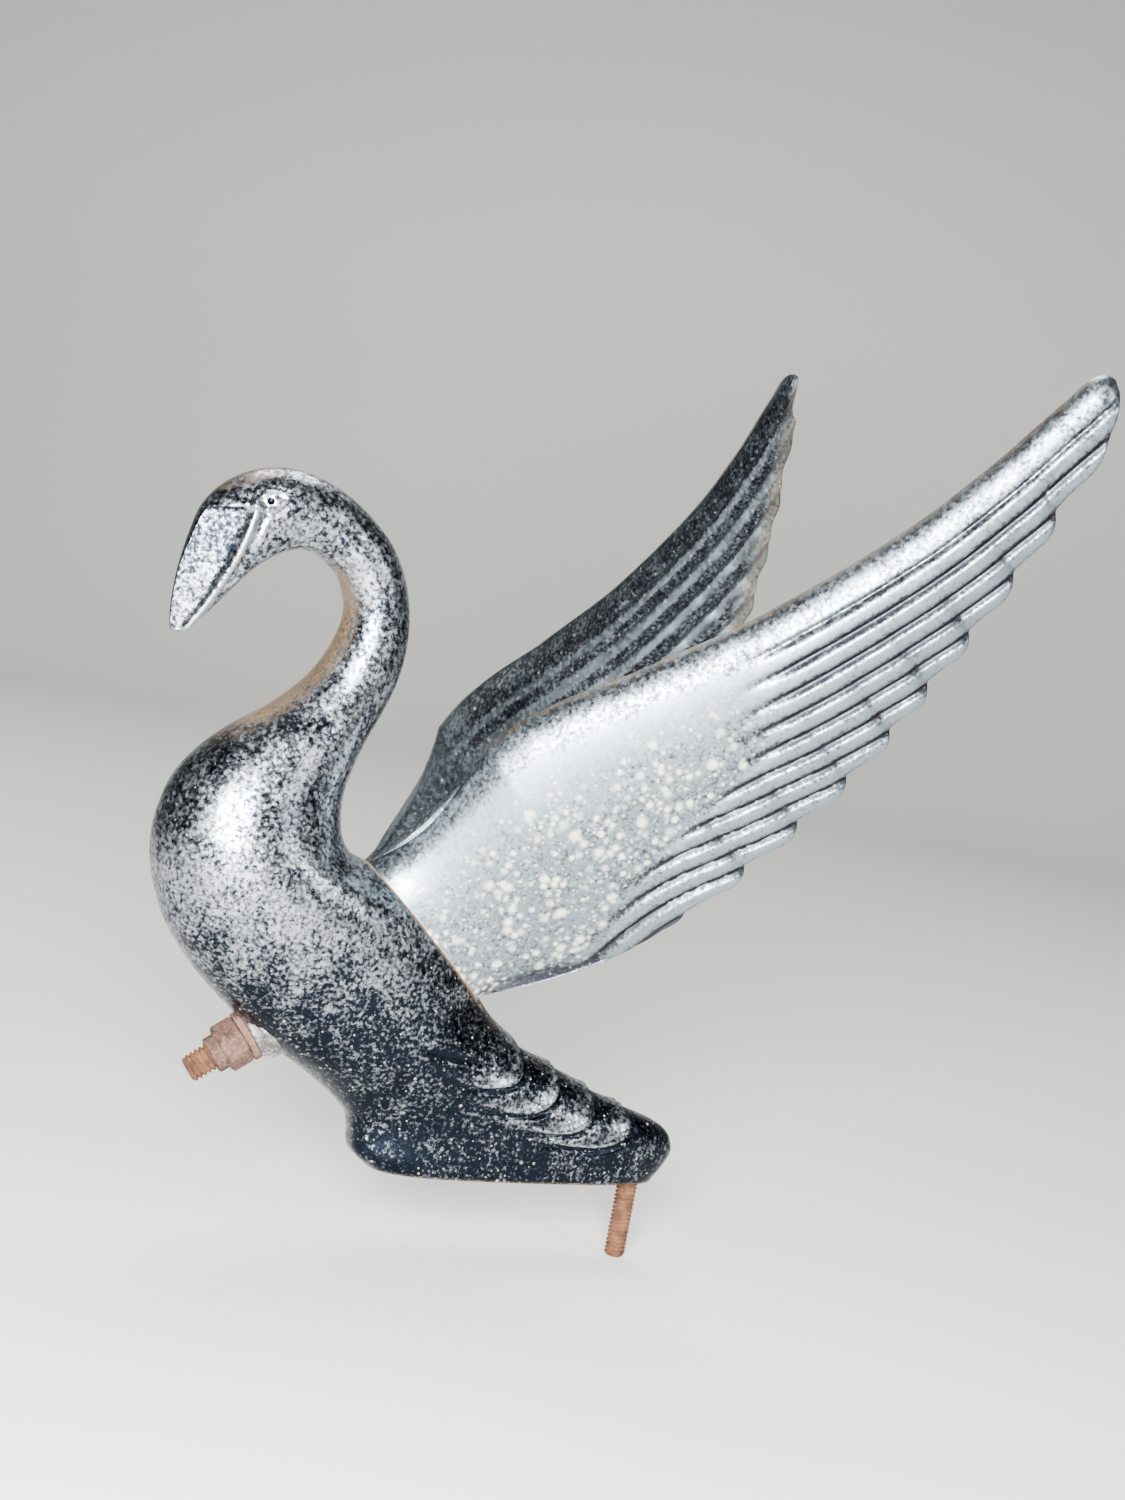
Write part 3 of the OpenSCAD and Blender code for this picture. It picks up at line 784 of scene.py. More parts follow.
    def flatten_beak(self, ring: np.ndarray, row: np.ndarray) -> np.ndarray:
        """Cuts the beak's two flat sides: one plane a side, from the ridge of the beak to the mouth."""
        near = row > self.neck_row + 2
        x, y, z = (ring[near][:, k] for k in range(3))
        front, _ = beside_path(x, z, path_through(self.MOUTH))
        top, _ = beside_path(x, z, path_through(self.PLATE_TOP))
        mask = smooth(-front, -0.1, 0.7) * smooth(-top, -0.2, 0.6)
        plane = 2.3 + 0.44 * (x + 166.5) + 0.028 * (z - 177)
        flat = np.sign(y) * np.minimum(np.abs(y), np.maximum(plane, 0.3))
        out = ring.copy()
        out[near, 1] = y + (flat - y) * mask
        return out

    def marks(self, ring: np.ndarray, row: np.ndarray, around: np.ndarray) -> dict[str, np.ndarray]:
        """Where the plating shows its undercoat, how densely it is pitted and how dark it has gone. These
        also paint
        shade: low on the body, on the beak plate and in a brown band over the plate.
        """
        x, z = ring[..., 0], ring[..., 2]
        above = (ring[..., [0, 2]] - self.clamp.mid) @ self.clamp.out
        beside = np.abs((ring[..., [0, 2]] - self.clamp.mid) @ self.clamp.along) < self.clamp.length / 2 + 2
        joint = 0.75 * smooth(-np.abs(above), -1.3, -0.2) * beside
        rim = 0.5 * smooth(-z, -1.4, -0.2)
        throat = 0.68 * smooth(-np.cos(around), 0.40, 0.98) * smooth(row, 13, 17) * smooth(-row, -27, -19)
        # Painted shade: a band over the beak plate where the crown curves over it, in the undercoat's brown.
        crown = 0.5 * smooth(z - 0.44 * (x + 165), 179.6, 181.4) * smooth(-x, 139, 148)
        toe = 0.3 * smooth(-z, -12, -2) * smooth(-x, 70, 95)
        rump = 0.5 * np.exp(-(((x + 57) ** 2 + (z - 47) ** 2) / 30))
        wear_and_shade = np.max([joint, rim, throat, crown, toe, rump], axis=0)
        pitting = 0.56 + 0.20 * smooth(-z, -110, -60) - 0.22 * smooth(row, 14, 20)
        plate, _ = beside_path(x, z, path_through(self.MOUTH))
        beak = smooth(-plate, -0.3, 0.6) * smooth(row, 26, 28) * smooth(-z, -179.5, -178)
        almond, pupil = self.eye(x, z)
        lips = np.exp(-((plate / 1.2) ** 2)) * (row > 26)
        bare = 0.35 * smooth(-almond, -1.3, -1.05) + 0.3 * lips + 0.12 * self.plumage(x, z)
        # Painted shade: the beak plate, which faces the light, a little darker, and the body darker below
        # about 35 to 75 mm up. The pupil is much darker.
        dark = 0.06 * beak + 0.12 * smooth(-z, -75, -35) + 0.9 * smooth(-pupil, -1.2, -0.7)
        tarnish_and_shade = 0.52 + dark - bare
        return {"wear_and_shade": wear_and_shade, "pitting": np.clip(pitting * (1 - 0.6 * beak), 0.1, 1), "tarnish_and_shade": tarnish_and_shade}

    def build(self) -> bpy.types.Object:
        """The whole casting as one closed skin: down the hollow, over the rim and up the outside."""
        last = len(self.SECTIONS) - 1
        at = np.concatenate([np.linspace(0, self.neck_row, self.body_rings, endpoint=False),
                             np.linspace(self.neck_row, last - 1e-6, self.head_rings)])
        ring = self.outer(at)
        row = np.broadcast_to(at[:, None], ring.shape[:2])
        turn = np.linspace(0, 2 * np.pi, self.round_points, endpoint=False)
        around = np.broadcast_to(turn, ring.shape[:2])
        ring = self.flatten_beak(ring, row)
        normal = grid_normals(ring)
        normal[0, :, 2] = 0
        x, z = ring[..., 0], ring[..., 2]
        side = np.abs(normal[..., 1])
        height = self.plumage(x, z) * smooth(z, 0.5, 4) + self.features(x, z, row) * smooth(side, 0.25, 0.55)
        lip = self.throat_lip * smooth(row, 20, 23) * smooth(-row, -31.5, -29)
        for turned in (-self.lip_angle, self.lip_angle):
            height += lip * np.exp(-((around - np.pi - turned) / 0.14) ** 2)
        ring = ring + normal * height[..., None]
        ring[0, :, 2] = 0.0
        ring = self.spot_faced(ring)
        hollow = self.inner(np.linspace(self.hollow_rows, 0, self.inner_rings))
        hollow[-1, :, 2] = 0.0
        grid = np.concatenate([hollow, ring])
        marks = self.marks(ring, row, around)
        marks = {k: np.concatenate([np.full(hollow.shape[:2], 0.6), v]) for k, v in marks.items()}
        tip = np.array([self.BEAK_TIP[0], 0, self.BEAK_TIP[1]])
        piece = skin("body_casting_skin", grid, (hollow[0].mean(axis=0), tip), marks=marks)
        return place(piece, Body.CASTINGS, Slot.BODY, self.material, "body_casting")


@dataclass
class BoredBoss:
    """A round boss with a bore, turned about its own axis: the washer's pad, or the rear stud's boss."""

    name: str
    material: bpy.types.Material
    bore: float
    outer: float
    foot: float
    low: float
    high: float
    round_points: int = 96
    SHARES = {"wear_and_shade": 0.45, "pitting": 0.7, "tarnish_and_shade": 0.5}

    def profile(self) -> np.ndarray:
        """Loop of (radius, height): up the bore, over the chamfered face, down the side, out at the foot."""
        r, b = self.outer / 2, self.bore / 2
        return np.array([
            (b, self.low), (b, self.high - 0.2), (b + 0.2, self.high), (r - 0.9, self.high),
            (r - 0.45, self.high - 0.08), (r - 0.12, self.high - 0.35), (r, self.high - 0.8),
            (r + 0.12 * (self.foot - r), self.high - 1.5), (r + 0.45 * (self.foot - r), self.high - 2.2),
            (self.foot, self.high - 3.0), (self.foot, self.low),
        ])

    def build(self, clamp: Clamp | None = None) -> bpy.types.Object:
        """The boss, on the clamp axis where a clamp is given, and otherwise upright with its face down at
        the origin."""
        profile = self.profile()
        angle = np.linspace(0, 2 * np.pi, self.round_points, endpoint=False)[None, :]
        radius, reach = (np.repeat(profile[:, k : k + 1], self.round_points, 1) for k in range(2))
        angle = np.broadcast_to(angle, radius.shape)
        if clamp:
            grid = clamp.turned(radius, angle, reach)
        else:
            grid = np.stack([radius * np.cos(angle), -radius * np.sin(angle), -reach], -1)
        marks = {mark: np.full(radius.shape, share) for mark, share in self.SHARES.items()}
        return place(skin(self.name, grid, crease=40, marks=marks), Body.CASTINGS, Slot.BODY, self.material)


# ---------------------------------------------------------------- wings


class Side(Enum):
    """Side of the bird, as the sign of Y."""

    LEFT = -1
    RIGHT = 1


@dataclass
class Wing:
    """One half of the wing casting, from the middle plane to the wing's tip."""

    clamp: Clamp
    material: bpy.types.Material
    rise: float = 45.0
    splay: float = 29.7
    roll: float = 21.3
    length: float = 242.0
    thick: float = 4.0
    tip_thick: float = 2.4
    edge_share: float = 0.34
    edge_round: float = 0.9
    seat_width: float = 29.0
    blade_start: float = 40.0
    tip_round: float = 7.0
    tip_flare: float = 4.8
    flare_from: float = 0.64
    camber: float = 3.2
    nose: float = 8.5
    crown: float = 8.0
    first_groove: float = 7.8
    groove_pitch: float = 6.9
    groove_share: float = 0.17
    ridge: float = 1.6
    scallop: float = 2.6
    root_rings: int = 66
    blade_rings: int = 300
    chord_points: int = 116
    close_to_edge: tuple[float, ...] = (0.0, 0.08, 0.27, 0.55, 0.95)
    edge_band: float = 1.5

    # Leading and trailing edges as [distance along the wing, distance across it].
    LEADING = np.array([[0, -24], [20, -27.5], [40, -31], [58, -30.3], [84, -24.3], [121, -17.2],
                        [165, -13.9], [195, -15.3], [222, -18.8], [236, -20.6]])
    TRAILING = np.array([[0, 33.5], [20, 42.5], [41, 46.5], [77, 44], [117, 38], [148, 28.3], [188, 13],
                         [226, -4.6], [236, -11]])
    # Height of the saddle between the wings above the joint, by share from front to rear.
    SADDLE = np.array([[0, 3], [0.12, 13], [0.3, 24.5], [0.5, 27], [0.7, 20], [0.88, 10], [1, 3]])
    # Where the smooth shoulder ends and the feathers begin: [distance across, distance along].
    SHOULDER = np.array([[-30, 116], [-5.7, 110], [6.4, 101.7], [16.6, 91.1], [24.2, 56], [31.5, 39.6],
                         [35.7, 27.6], [40.2, 15.4], [48, 4]])

    @property
    def axes(self) -> tuple[np.ndarray, np.ndarray, np.ndarray]:
        """Directions along the wing, across it towards its trailing edge, and out of its outer face."""
        rise, splay, roll = (np.radians(a) for a in (self.rise, self.splay, self.roll))
        p = np.array([np.cos(rise) * np.cos(splay), np.cos(rise) * np.sin(splay), np.sin(rise)])
        level = np.array([np.sin(splay), -np.cos(splay), 0])
        steep = np.array([np.sin(rise) * np.cos(splay), np.sin(rise) * np.sin(splay), -np.cos(rise)])
        q = steep * np.cos(roll) + level * np.sin(roll)
        return p, q, np.cross(p, q)

    @property
    def origin(self) -> np.ndarray:
        """Where the distances along and across the wing start."""
        return np.array([self.clamp.mid[0] + 1.5, 4.7, self.clamp.mid[1] + 9.5])

    @property
    def end(self) -> float:
        """Distance along the wing at which its blade ends."""
        return self.length - 7

    def tip_close(self, p: np.ndarray) -> np.ndarray:
        """Share of its width that the blade keeps: a quarter ellipse over the last millimetres."""
        t = np.clip((p - (self.end - self.tip_round)) / self.tip_round, 0, 1)
        return np.sqrt(np.maximum(0.02, 1 - t * t))

    def edges(self, p: np.ndarray) -> tuple[np.ndarray, np.ndarray]:
        """Leading and trailing edges at p. Each feather's end stands out of the trailing edge and turns in
        towards the tip, so the bumps follow the grooves: they run with the width of the blade."""
        lead, trail = curve_at(self.LEADING, p), curve_at(self.TRAILING, p)
        phase = (trail - lead - self.first_groove) / self.groove_pitch
        t = 1 - (phase - np.floor(phase))
        live = smooth(p, 46, 60) * smooth(-p, -228, -222)
        return lead, trail + self.scallop * np.sin(np.pi * t**2.1) * live

    @property
    def face_points(self) -> int:
        """Number of points across one face."""
        return self.chord_points + len(self.close_to_edge) + 1

    def across(self, p: np.ndarray) -> np.ndarray:
        """Shares of the chord at which each ring has points: close round both edges, even between."""
        lead, trail = self.edges(p)
        chord = (trail - lead)[:, None]
        close, band = np.array(self.close_to_edge) / chord, self.edge_band / chord
        even = np.linspace(0, 1, self.face_points - 2 * len(self.close_to_edge))
        return np.concatenate([close, band + (1 - 2 * band) * even, 1 - close[:, ::-1]], axis=1)

    def sheet(self, p: np.ndarray, v: np.ndarray, d: np.ndarray) -> np.ndarray:
        """Offset of the blade's middle surface: a rounded nose rises from the leading edge, the camber falls
        off towards the trailing edge, a broad crown swells between the edges, and near the tip the trailing
        edge flares outward."""
        t = p / self.end
        crown = self.crown * (1 - 0.8 * t) * np.sin(np.pi * v**0.7) * self.tip_close(p)
        nose = np.sqrt(np.clip(1 - (1 - np.clip(d / self.nose, 0, 1)) ** 2, 0, 1))
        arch = self.camber * (1 - 0.45 * t) * nose * (1 - 0.9 * v * v) * self.tip_close(p)
        flare = self.tip_flare * (np.maximum(0, t - self.flare_from) / (1 - self.flare_from)) ** 1.5 * v * v
        return arch + crown + flare * self.tip_close(p)

    def across_feather(self, d: np.ndarray) -> np.ndarray:
        """Share of the way across its feather of a point at distance d from the leading edge."""
        return (d - self.first_groove) / self.groove_pitch % 1

    def in_groove(self, t: np.ndarray) -> np.ndarray:
        """1 on the floor of a groove, where a feather's share t is 0 or 1, and fading out beside it."""
        return np.exp(-((np.minimum(t, 1 - t) / self.groove_share) ** 2))

    def feathers(self, p: np.ndarray, q: np.ndarray, d: np.ndarray) -> np.ndarray:
        """Height of the flight feathers: gently rounded ridges between soft grooves, parallel to the leading
        edge, that rise out of the smooth shoulder."""
        t = self.across_feather(d)
        round_top = 0.42 + 0.12 * np.sin(np.pi * t) - self.in_groove(t)
        start = curve_at(self.SHOULDER, q)
        live = smooth(p - start, -6, 20) * smooth(d, self.first_groove - 1.2, self.first_groove + 0.6)
        fade = 1 - 0.25 * smooth(p, 150, 235)
        return self.ridge * round_top * live * fade * smooth(-p, -234, -229)

    def blade(self, p: np.ndarray, v: np.ndarray, face: int) -> np.ndarray:
        """Points of the blade's outer (1) or inner (-1) face, before its feathers."""
        lead, trail = (e[:, None] for e in self.edges(p))
        along = p[:, None]
        chord = trail - lead
        middle = lead + chord * (0.45 + 0.05 * v)
        q = middle + (lead + chord * v - middle) * self.tip_close(along)
        edge = np.minimum(v, 1 - v) * chord
        round_edge = np.sqrt(np.clip(1 - (1 - np.clip(edge / self.edge_round, 0, 1)) ** 2, 0, 1))
        body = self.thick + (self.tip_thick - self.thick) * np.clip(along / self.end, 0, 1)
        swell = self.edge_share + (1 - self.edge_share) * np.sqrt(np.clip(np.sin(np.pi * v**0.8), 0, 1))
        thick = body * self.tip_close(along) * swell * round_edge
        h = face * thick / 2 + self.sheet(along, v, v * chord)
        pd, qd, nd = self.axes
        return self.origin + along[..., None] * pd + q[..., None] * qd + h[..., None] * nd

    def seat_half(self, v: np.ndarray) -> np.ndarray:
        """Half width of the seat at share v from front to rear: a squarish oval."""
        return self.seat_width / 2 * (1 - np.abs(2 * v - 1) ** 2.6) ** (1 / 2.6)

    def on_joint(self, v: np.ndarray, y: np.ndarray, h: np.ndarray) -> np.ndarray:
        """Points at share v along the joint, y across it and h above it."""
        flat = (np.array(self.clamp.front) + v[..., None] * self.clamp.along * self.clamp.length
                + h[..., None] * self.clamp.out)
        return np.stack([flat[..., 0], y + 0 * v, flat[..., 1]], -1)

    def root(self, u: np.ndarray, v: np.ndarray, face: int) -> np.ndarray:
        """Points of the root, which runs from the joint or the saddle into the blade.

        Args:
            u: Shares of the way from the middle plane, of shape (rings, 1).
            v: Shares from the leading to the trailing edge, of shape (1, points).
            face: 1 for the outer face, which lies flat on the joint first; -1 for the inner one.

        Returns:
            Points of shape (rings, points, 3).
        """
        pd, qd, _ = self.axes
        start = np.array([self.blade_start])
        target = self.blade(start, v, face)
        sweep = pd - 0.6 * (1 - v[..., None]) ** 2 * qd
        v = np.broadcast_to(v, (len(u), v.shape[1]))
        if face > 0:
            share = 0.35
            t = np.clip((u - share) / (1 - share), 0, 1)
            foot = self.on_joint(v, self.seat_half(v) * np.minimum(u / share, 1), 0 * v)
            rise = np.array([self.clamp.out[0], 0, self.clamp.out[1]]) * 36
            return hermite(foot, rise, target, sweep * 30, t[..., None])
        lean = v + 0.12 * np.sin(np.pi * v)
        saddle = self.on_joint(lean, 0 * v, curve_at(self.SADDLE, v))
        return hermite(saddle, np.array([0, 26.0, 0]), target, sweep * 40, u[..., None])

    def marks(self, grid: np.ndarray, p: np.ndarray, q: np.ndarray) -> dict[str, np.ndarray]:
        """Where the plating shows its undercoat, how densely it is pitted and how dark it has gone. The
        darkening also paints shade in the grooves, on the shoulder away from the leading edge, over the inner
        face and at its root, and highlights on the inner face's crests.
        """
        lead, trail = curve_at(self.LEADING, p), curve_at(self.TRAILING, p)
        d, e = q - lead, trail - q
        above = (grid[..., [0, 2]] - self.clamp.mid) @ self.clamp.out
        inner = np.zeros_like(p)
        inner[:, self.face_points:] = 1.0
        joint = 0.7 * smooth(-np.abs(above), -1.2, -0.2)
        front = (0.50 - 0.1 * inner) * smooth(-d, -2.2, -0.1) * smooth(p, 10, 30)
        back = (0.30 + 0.25 * inner) * smooth(-e, -14, -0.3) * smooth(p, 40, 70)
        wear_and_shade = np.max([joint, front, back * inner + 0.5 * back * (1 - inner)], axis=0)
        start = curve_at(self.SHOULDER, q)
        plain = smooth(start + 8 - p, -12, 22)
        pitting = 0.34 + (0.66 * plain * smooth(d, 8, 26)) * (1 - inner) + 0.1 * inner
        nose = smooth(-d, -self.nose - 3, -self.nose + 2)
        # Painted shade over the inner face, which faces the other wing.
        painted_inner_shade = inner * smooth(e, 1, 8) * smooth(p, 20, 60)
        t = self.across_feather(d)
        groove = self.in_groove(t)
        # Painted highlights along the crests of the inner face's feathers.
        painted_crest_highlight = np.exp(-(((t - 0.5) / 0.17) ** 2)) * smooth(d, 9, 14) * smooth(p, 10, 40)
        # Painted shade in the grooves between the outer face's feathers.
        painted_groove_shade = 0.40 * groove**0.45 * (1 - plain) * (1 - nose)
        # On the outer face: painted shade on the shoulder away from the leading edge, below its highlight;
        # the rounded nose of the leading edge is darker too.
        outer = 0.16 * nose + painted_groove_shade + 0.10 * plain * smooth(d, 14, 26)
        # Painted shade on the inner face near the root's trailing edge, where the wings meet the body.
        root = smooth(-e, -12, -4) * smooth(-p, -60, -40)
        tarnish_and_shade = 0.33 + outer * (1 - inner) + painted_inner_shade * (0.24 - 0.60 * painted_crest_highlight) + 0.3 * inner * root
        return {"wear_and_shade": wear_and_shade, "pitting": pitting, "tarnish_and_shade": tarnish_and_shade}

    def build(self, side: Side) -> bpy.types.Object:
        """Half of the casting as one closed skin, cut off flat in the middle plane."""
        root_p = np.full(self.root_rings, self.blade_start)
        blade_p = np.linspace(self.blade_start, self.end, self.blade_rings)
        u = (np.arange(self.root_rings) / self.root_rings)[:, None]
        v_root, v_blade = self.across(root_p[:1]), self.across(blade_p)
        faces = []
        for face in (1, -1):
            points = np.concatenate([self.root(u, v_root, face), self.blade(blade_p, v_blade, face)])
            pd, qd, nd = self.axes
            arm = points - self.origin
            p, q = arm @ pd, arm @ qd
            d = q - curve_at(self.LEADING, p)
            lift = self.feathers(p, q, d)
            if face < 0:
                lift = lift * smooth(p, 30, 70)
            faces.append(points + lift[..., None] * nd)
        outer, inner = faces
        grid = np.concatenate([outer, inner[:, -2:0:-1]], axis=1)
        pd, qd, nd = self.axes
        arm = grid - self.origin
        marks = self.marks(grid, arm @ pd, arm @ qd)
        tip = grid[-1].mean(axis=0) + pd * 0.3
        middle = grid[0].mean(axis=0) * [1, 0, 1]
        grid[..., 1] = np.maximum(grid[..., 1], 0)
        grid[0, :, 1] = 0
        flip = np.array([1, side.value, 1])
        name = f"{side.name.lower()}_wing"
        piece = skin(name, grid * flip, (middle * flip, tip * flip), crease=60, marks=marks)
        return place(piece, Body.CASTINGS, Slot.WINGS, self.material, "wing_casting")


# ---------------------------------------------------------------- hardware


def threaded(radius: float, depth: float, pitch: float, reach: np.ndarray, angle: np.ndarray) -> np.ndarray:
    """Radius of a rusty right-hand thread: a rounded triangle wave along the rod that moves on by one pitch
    in each turn."""
    t = reach / pitch - angle / (2 * np.pi)
    wave = np.abs(2 * (t - np.floor(t)) - 1)
    return radius - depth * smooth(wave, 0.08, 0.95)


@dataclass
class Stud:
    """A threaded steel rod with chamfered ends."""

    name: str
    node: str
    material: bpy.types.Material
    diameter: float
    pitch: float
    start: float
    end: float
    round_points: int = 44
    steps_in_pitch: int = 8

    def build(
        self, clamp: Clamp | None = None, anchor: tuple[float, float] | None = None
    ) -> bpy.types.Object:
        """The rod along the clamp axis, or upright at the origin.

        Args:
            clamp: The clamp whose axis it lies on.
            anchor: Diameter and end height of a plain thick end above the foot plane.

        Returns:
            The piece.
        """
        rings = int((self.end - self.start) / self.pitch * self.steps_in_pitch)
        turn = np.linspace(0, 2 * np.pi, self.round_points, endpoint=False)
        reach, angle = np.meshgrid(np.linspace(self.start, self.end, rings), turn, indexing="ij")
        radius = threaded(self.diameter / 2, 0.5 * self.pitch, self.pitch, reach, angle)
        inset = np.minimum(reach - self.start, self.end - reach)
        radius = np.minimum(radius, self.diameter / 2 - 0.9 + inset)
        if anchor:
            top = np.linspace(0.02, anchor[1], 12)[:, None] + 0 * angle[:1]
            reach = np.concatenate([reach, top[:1] * 0, top])
            angle = np.concatenate([angle, np.repeat(angle[:1], 13, axis=0)])
            radius = np.concatenate([radius, np.full_like(top[:1], self.diameter / 2),
                                     0 * top + anchor[0] / 2])
        if clamp:
            grid = clamp.turned(radius, angle, reach)
        else:
            grid = np.stack([radius * np.cos(angle), radius * np.sin(angle), reach], -1)
        piece = skin(self.name, grid, (grid[0].mean(axis=0), grid[-1].mean(axis=0)), crease=65)
        return place(piece, Body.CASTINGS, Slot.STUD, self.material, self.node)


@dataclass
class LockWasher:
    """A split spring washer of rounded square wire, closed up by the nut."""

    clamp: Clamp
    material: bpy.types.Material
    inner: float = 8.1
    outer: float = 14.9
    thick: float = 2.0
    split: float = 1.6
    split_at: float = 200.0
    corner: float = 0.45
    round_points: int = 150

    def build(self) -> bpy.types.Object:
        """The washer: a rounded oblong carried round the axis from one side of the split to the other."""
        turn = np.linspace(0, 2 * np.pi, 33)[:-1] + np.pi / 4
        half_r, half_t = (self.outer - self.inner) / 4, self.thick / 2
        c, s = np.cos(turn), np.sin(turn)
        px = np.sign(c) * (half_r - self.corner) * (np.abs(c) > 1e-9) + self.corner * c
        pz = np.sign(s) * (half_t - self.corner) + self.corner * s
        gap = self.split / (self.outer / 2)
        angle = np.radians(self.split_at) + np.linspace(gap / 2, 2 * np.pi - gap / 2, self.round_points)
        middle = (self.outer + self.inner) / 4
        radius = middle + px[None, :] + 0 * angle[:, None]
        reach = self.clamp.washer_seat + self.clamp.face_gap + half_t + pz[None, :] + 0 * angle[:, None]
        grid = self.clamp.turned(radius, np.broadcast_to(angle[:, None], radius.shape), reach)
        piece = skin("lock_washer_ring", grid, (grid[0].mean(axis=0), grid[-1].mean(axis=0)), crease=55)
        return place(piece, Body.WASHER, Slot.WASHER, self.material, "lock_washer")


@dataclass
class HexNut:
    """A hexagon nut with a round collar on its outer face and a threaded bore."""

    clamp: Clamp
    material: bpy.types.Material
    flats: float = 12.7
    height: float = 6.8
    collar: float = 10.6
    collar_height: float = 3.2
    bore: float = 8.1
    turned_by: float = 15.0
    facet_points: int = 20

    def build(self) -> bpy.types.Object:
        """The nut: a loop of (radius, height) carried round the axis, in which the hexagon's radius is half
        its flats over the cosine of the angle from the facet's middle, cut back by its chamfer cones."""
        points = 6 * self.facet_points
        angle = np.linspace(0, 2 * np.pi, points, endpoint=False) + np.radians(self.turned_by)
        facet = np.mod(angle - np.radians(self.turned_by), np.pi / 3) - np.pi / 6
        hexagon = self.flats / 2 / np.cos(facet)
        corner = self.flats / 2 / np.cos(np.pi / 6)
        hexagon = np.minimum(hexagon, corner - 0.22)
        face, top = self.flats / 2 - 0.2, self.height
        slope = np.tan(np.radians(30))
        levels = np.linspace(0, 1.0, 7)
        loop = [(self.bore / 2 + 0.5, 0.0, False), (face - 1.5, 0.0, False)]
        loop += [(face + x / slope, x, True) for x in levels * 0.75]
        loop += [(99.0, h, True) for h in np.linspace(1.0, top - 1.0, 9)]
        loop += [(face + x / slope, top - x, True) for x in levels[::-1] * 0.75]
        rim = self.collar / 2
        full = top + self.collar_height
        loop += [(rim + 0.35, top, False), (rim + 0.08, top + 0.15, False), (rim, top + 0.45, False),
                 (rim, full - 0.55, False), (rim - 0.18, full - 0.18, False), (rim - 0.55, full, False),
                 (self.bore / 2 + 0.45, full, False), (self.bore / 2, full - 0.45, False),
                 (self.bore / 2, 0.5, False)]
        radius = np.stack([np.minimum(hexagon, r) if cut else np.full(points, r) for r, _, cut in loop])
        reach = self.clamp.nut_seat + np.array([h for _, h, _ in loop])[:, None] + 0 * radius
        grid = self.clamp.turned(radius, np.broadcast_to(angle, radius.shape), reach)
        return place(skin("hex_nut_collared", grid, crease=32), Body.NUT, Slot.NUT, self.material, "hex_nut")


# ---------------------------------------------------------------- studio


@dataclass(frozen=True)
class Softbox:
    """A soft light: its place and target in metres, size in metres and power in watts."""

    name: str
    place: tuple[float, float, float]
    target: tuple[float, float, float]
    size: float
    watts: float

    def add(self) -> None:
        """Adds the light, aimed at its target."""
        light = bpy.data.lights.new(self.name, "AREA")
        light.shape = "SQUARE"
        light.size, light.energy = self.size, self.watts
        lamp = bpy.data.objects.new(self.name, light)
        back = unit(np.array(self.place) - np.array(self.target))
        right = unit(np.cross([0, 0, 1], back))
        lamp.matrix_world = frame_of(right, np.cross(back, right), back, self.place)
        bpy.context.scene.collection.objects.link(lamp)


def frame_of(right: np.ndarray, up: np.ndarray, back: np.ndarray, at: tuple) -> Matrix:
    """World matrix with those axes and place."""
    m = np.eye(4)
    m[:3, 0], m[:3, 1], m[:3, 2], m[:3, 3] = right, up, back, at
    return Matrix(m.tolist())


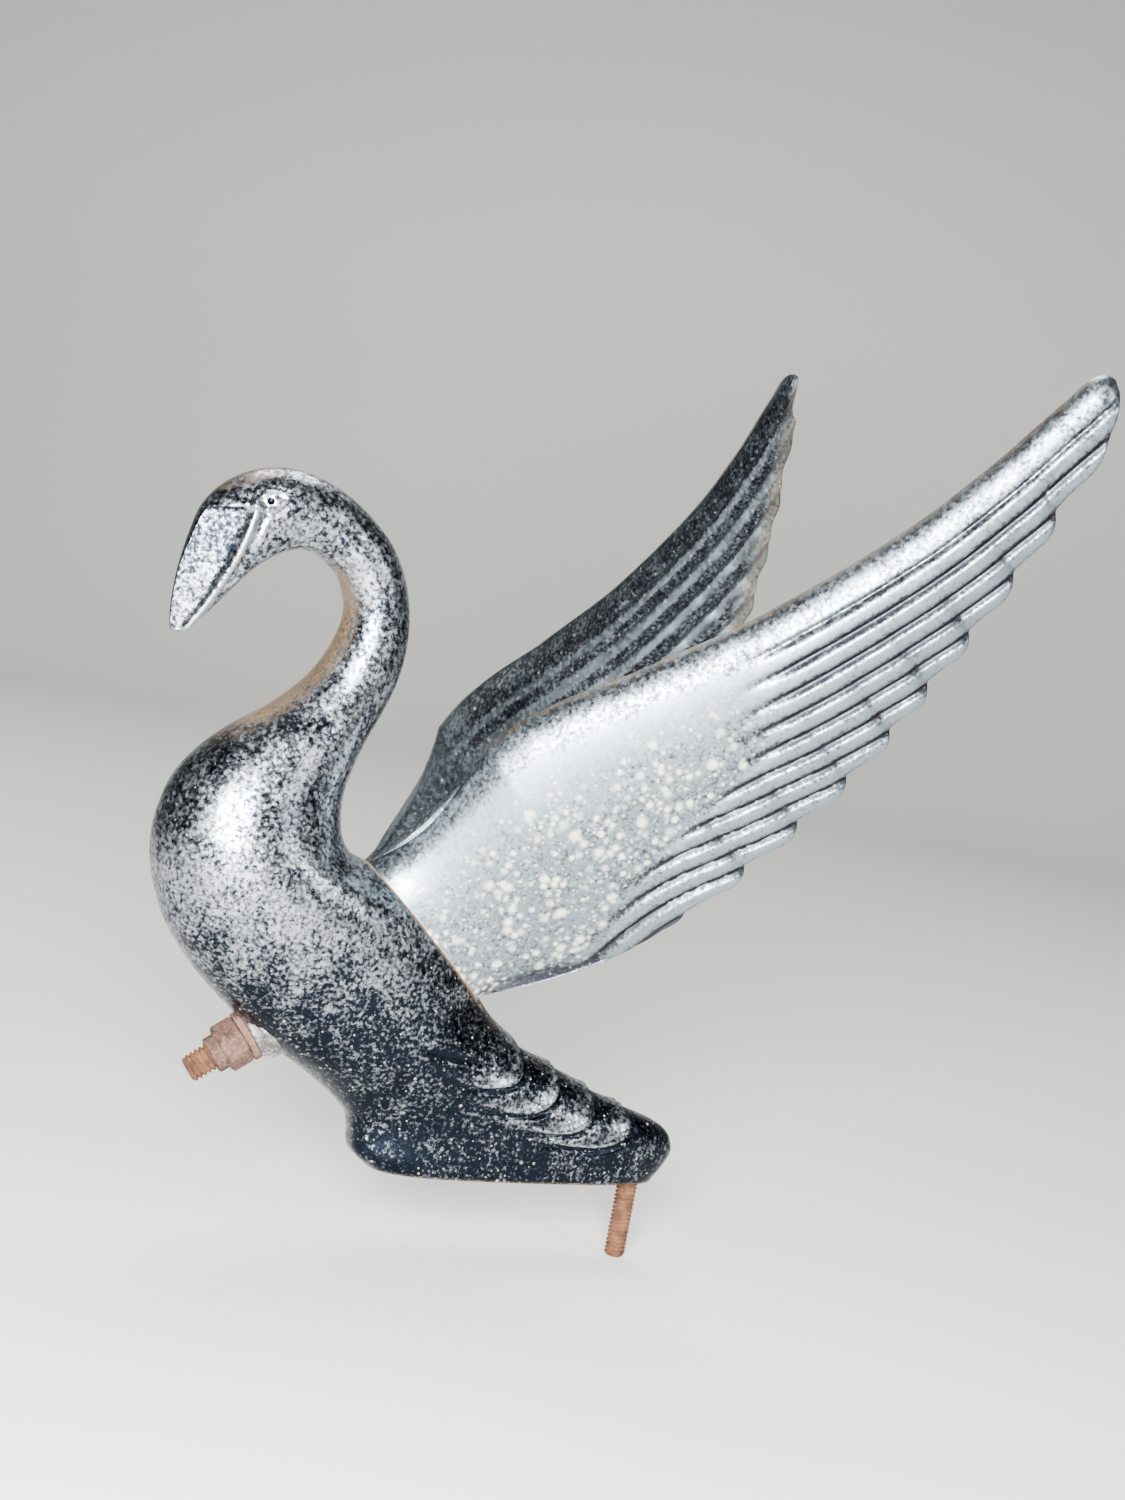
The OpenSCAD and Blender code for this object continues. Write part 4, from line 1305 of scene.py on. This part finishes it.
@dataclass
class Studio:
    """A pale paper sweep under and behind the bird, soft lights and the camera."""

    floor: float = -0.0252
    wall: float = 1.3
    bend: float = 0.5
    reach: float = 3.2
    wall_top: float = 3.5
    yaw: float = -24.0
    camera_at: tuple[float, float, float] = (-0.302, -0.568, 0.1865)
    camera_right: tuple[float, float, float] = (0.9045, -0.3856, 0.1822)
    camera_up: tuple[float, float, float] = (-0.1287, 0.1606, 0.9786)
    lens: float = 51.6
    air: str = "#7d8186"
    air_strength: float = 0.45
    lights: tuple[Softbox, ...] = (
        Softbox("front_softbox", (-0.37, -0.62, 0.25), (-0.06, 0.0, 0.12), 0.32, 40.0),
        Softbox("side_softbox", (0.55, -0.85, 0.50), (-0.03, 0.0, 0.12), 0.30, 5.0),
        Softbox("top_softbox", (0.1, 0.55, 1.4), (-0.02, 0.0, 0.12), 0.9, 26.0),
    )

    def sweep(self) -> bpy.types.Object:
        """The paper: a floor that turns up in a quarter circle behind the bird: a strip along a profile."""
        turn = np.linspace(0, np.pi / 2, 24)
        profile = np.concatenate([
            [[-3.0, self.floor], [0.0, self.floor]],
            np.stack([self.wall + self.bend * np.sin(turn), self.floor + self.bend * (1 - np.cos(turn))], -1),
            [[self.wall + self.bend, self.wall_top]],
        ])
        yaw = np.radians(self.yaw)
        u, w = np.array([np.cos(yaw), np.sin(yaw), 0.0]), np.array([-np.sin(yaw), np.cos(yaw), 0.0])
        span = np.array([-self.reach, self.reach])
        grid = (profile[:, None, :1] * w + span[None, :, None] * u
                + profile[:, None, 1:] * np.array([0.0, 0.0, 1.0]))
        index = np.arange(grid.shape[0] * 2).reshape(-1, 2)
        faces = np.stack([index[:-1, 0], index[:-1, 1], index[1:, 1], index[1:, 0]], -1)
        mesh = bpy.data.meshes.new("paper_sweep")
        mesh.from_pydata(grid.reshape(-1, 3).tolist(), [], faces.tolist())
        mesh.shade_smooth()
        mesh.materials.append(StudioPaper().make())
        floor = bpy.data.objects.new("paper_sweep", mesh)
        bpy.context.scene.collection.objects.link(floor)
        return floor

    def camera(self) -> None:
        """The camera, three-quarters from the bird's left and a little above its middle, slightly tilted."""
        data = bpy.data.cameras.new("view")
        data.lens, data.sensor_width = self.lens, 36.0
        camera = bpy.data.objects.new("view", data)
        right, back = unit(np.array(self.camera_right)), unit(np.cross(self.camera_right, self.camera_up))
        camera.matrix_world = frame_of(right, np.cross(back, right), back, self.camera_at)
        bpy.context.scene.collection.objects.link(camera)
        bpy.context.scene.camera = camera

    def build(self) -> None:
        """Sets the whole studio."""
        self.sweep()
        for light in self.lights:
            light.add()
        world = bpy.data.worlds.new("studio_air")
        world.use_nodes = True
        air = world.node_tree.nodes["Background"]
        air.inputs["Color"].default_value = linear(self.air)
        air.inputs["Strength"].default_value = self.air_strength
        bpy.context.scene.world = world
        self.camera()


def main() -> None:
    """Builds the ornament round its frame, piece by piece, then the studio."""
    logging.basicConfig(level=logging.INFO, format="%(name)s %(message)s")
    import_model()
    clamp = Clamp()
    body_plate = PittedChrome("pitted_chrome_body").make()
    wing_plate = PittedChrome("pitted_chrome_wings", chrome="#8b979e", tarnish_and_shade="#33343a", oxide="#dad7c8",
                              clear=0.32, hazed=0.50, speck_spacing=1.6, speck_radius=0.48, spot_spacing=2.7,
                              spot_radius=0.62, blotch_spacing=4.4, blotch_radius=0.60, softness=0.42,
                              least_chance=-0.5, peel_depth=0.02).make()
    BodyCasting(clamp, body_plate).build()
    BoredBoss("breast_pad", body_plate, bore=8.74, outer=15.9, foot=9.6, low=clamp.washer_seat - 7.5,
              high=clamp.washer_seat).build(clamp)
    BoredBoss("rear_stud_boss", body_plate, bore=8.06, outer=11.0, foot=5.6, low=-17.65, high=0.0).build()
    wing = Wing(clamp, wing_plate)
    for side in Side:
        wing.build(side)
    rust = RustedSteel("rusted_steel_stud").make()
    Stud("wing_stud_rod", "wing_stud", rust, diameter=7.94, pitch=1.41, start=-14.0,
         end=clamp.nut_seat + HexNut.height + HexNut.collar_height + STUD_PROUD).build(clamp)
    Stud("rear_stud_rod", "rear_stud", rust, diameter=6.35, pitch=1.27, start=-25.0,
         end=0.0).build(anchor=(8.0, 15.45))
    LockWasher(clamp, RustedSteel("rusted_steel_washer", fresh="#6c5244", old="#402b22").make()).build()
    HexNut(clamp, RustedSteel("rusted_steel_nut", fresh="#553b30", old="#2f1e17", scraped="#6c5b50",
                              scraped_share=0.8).make()).build()
    Studio().build()


if __name__ == "__main__":
    main()
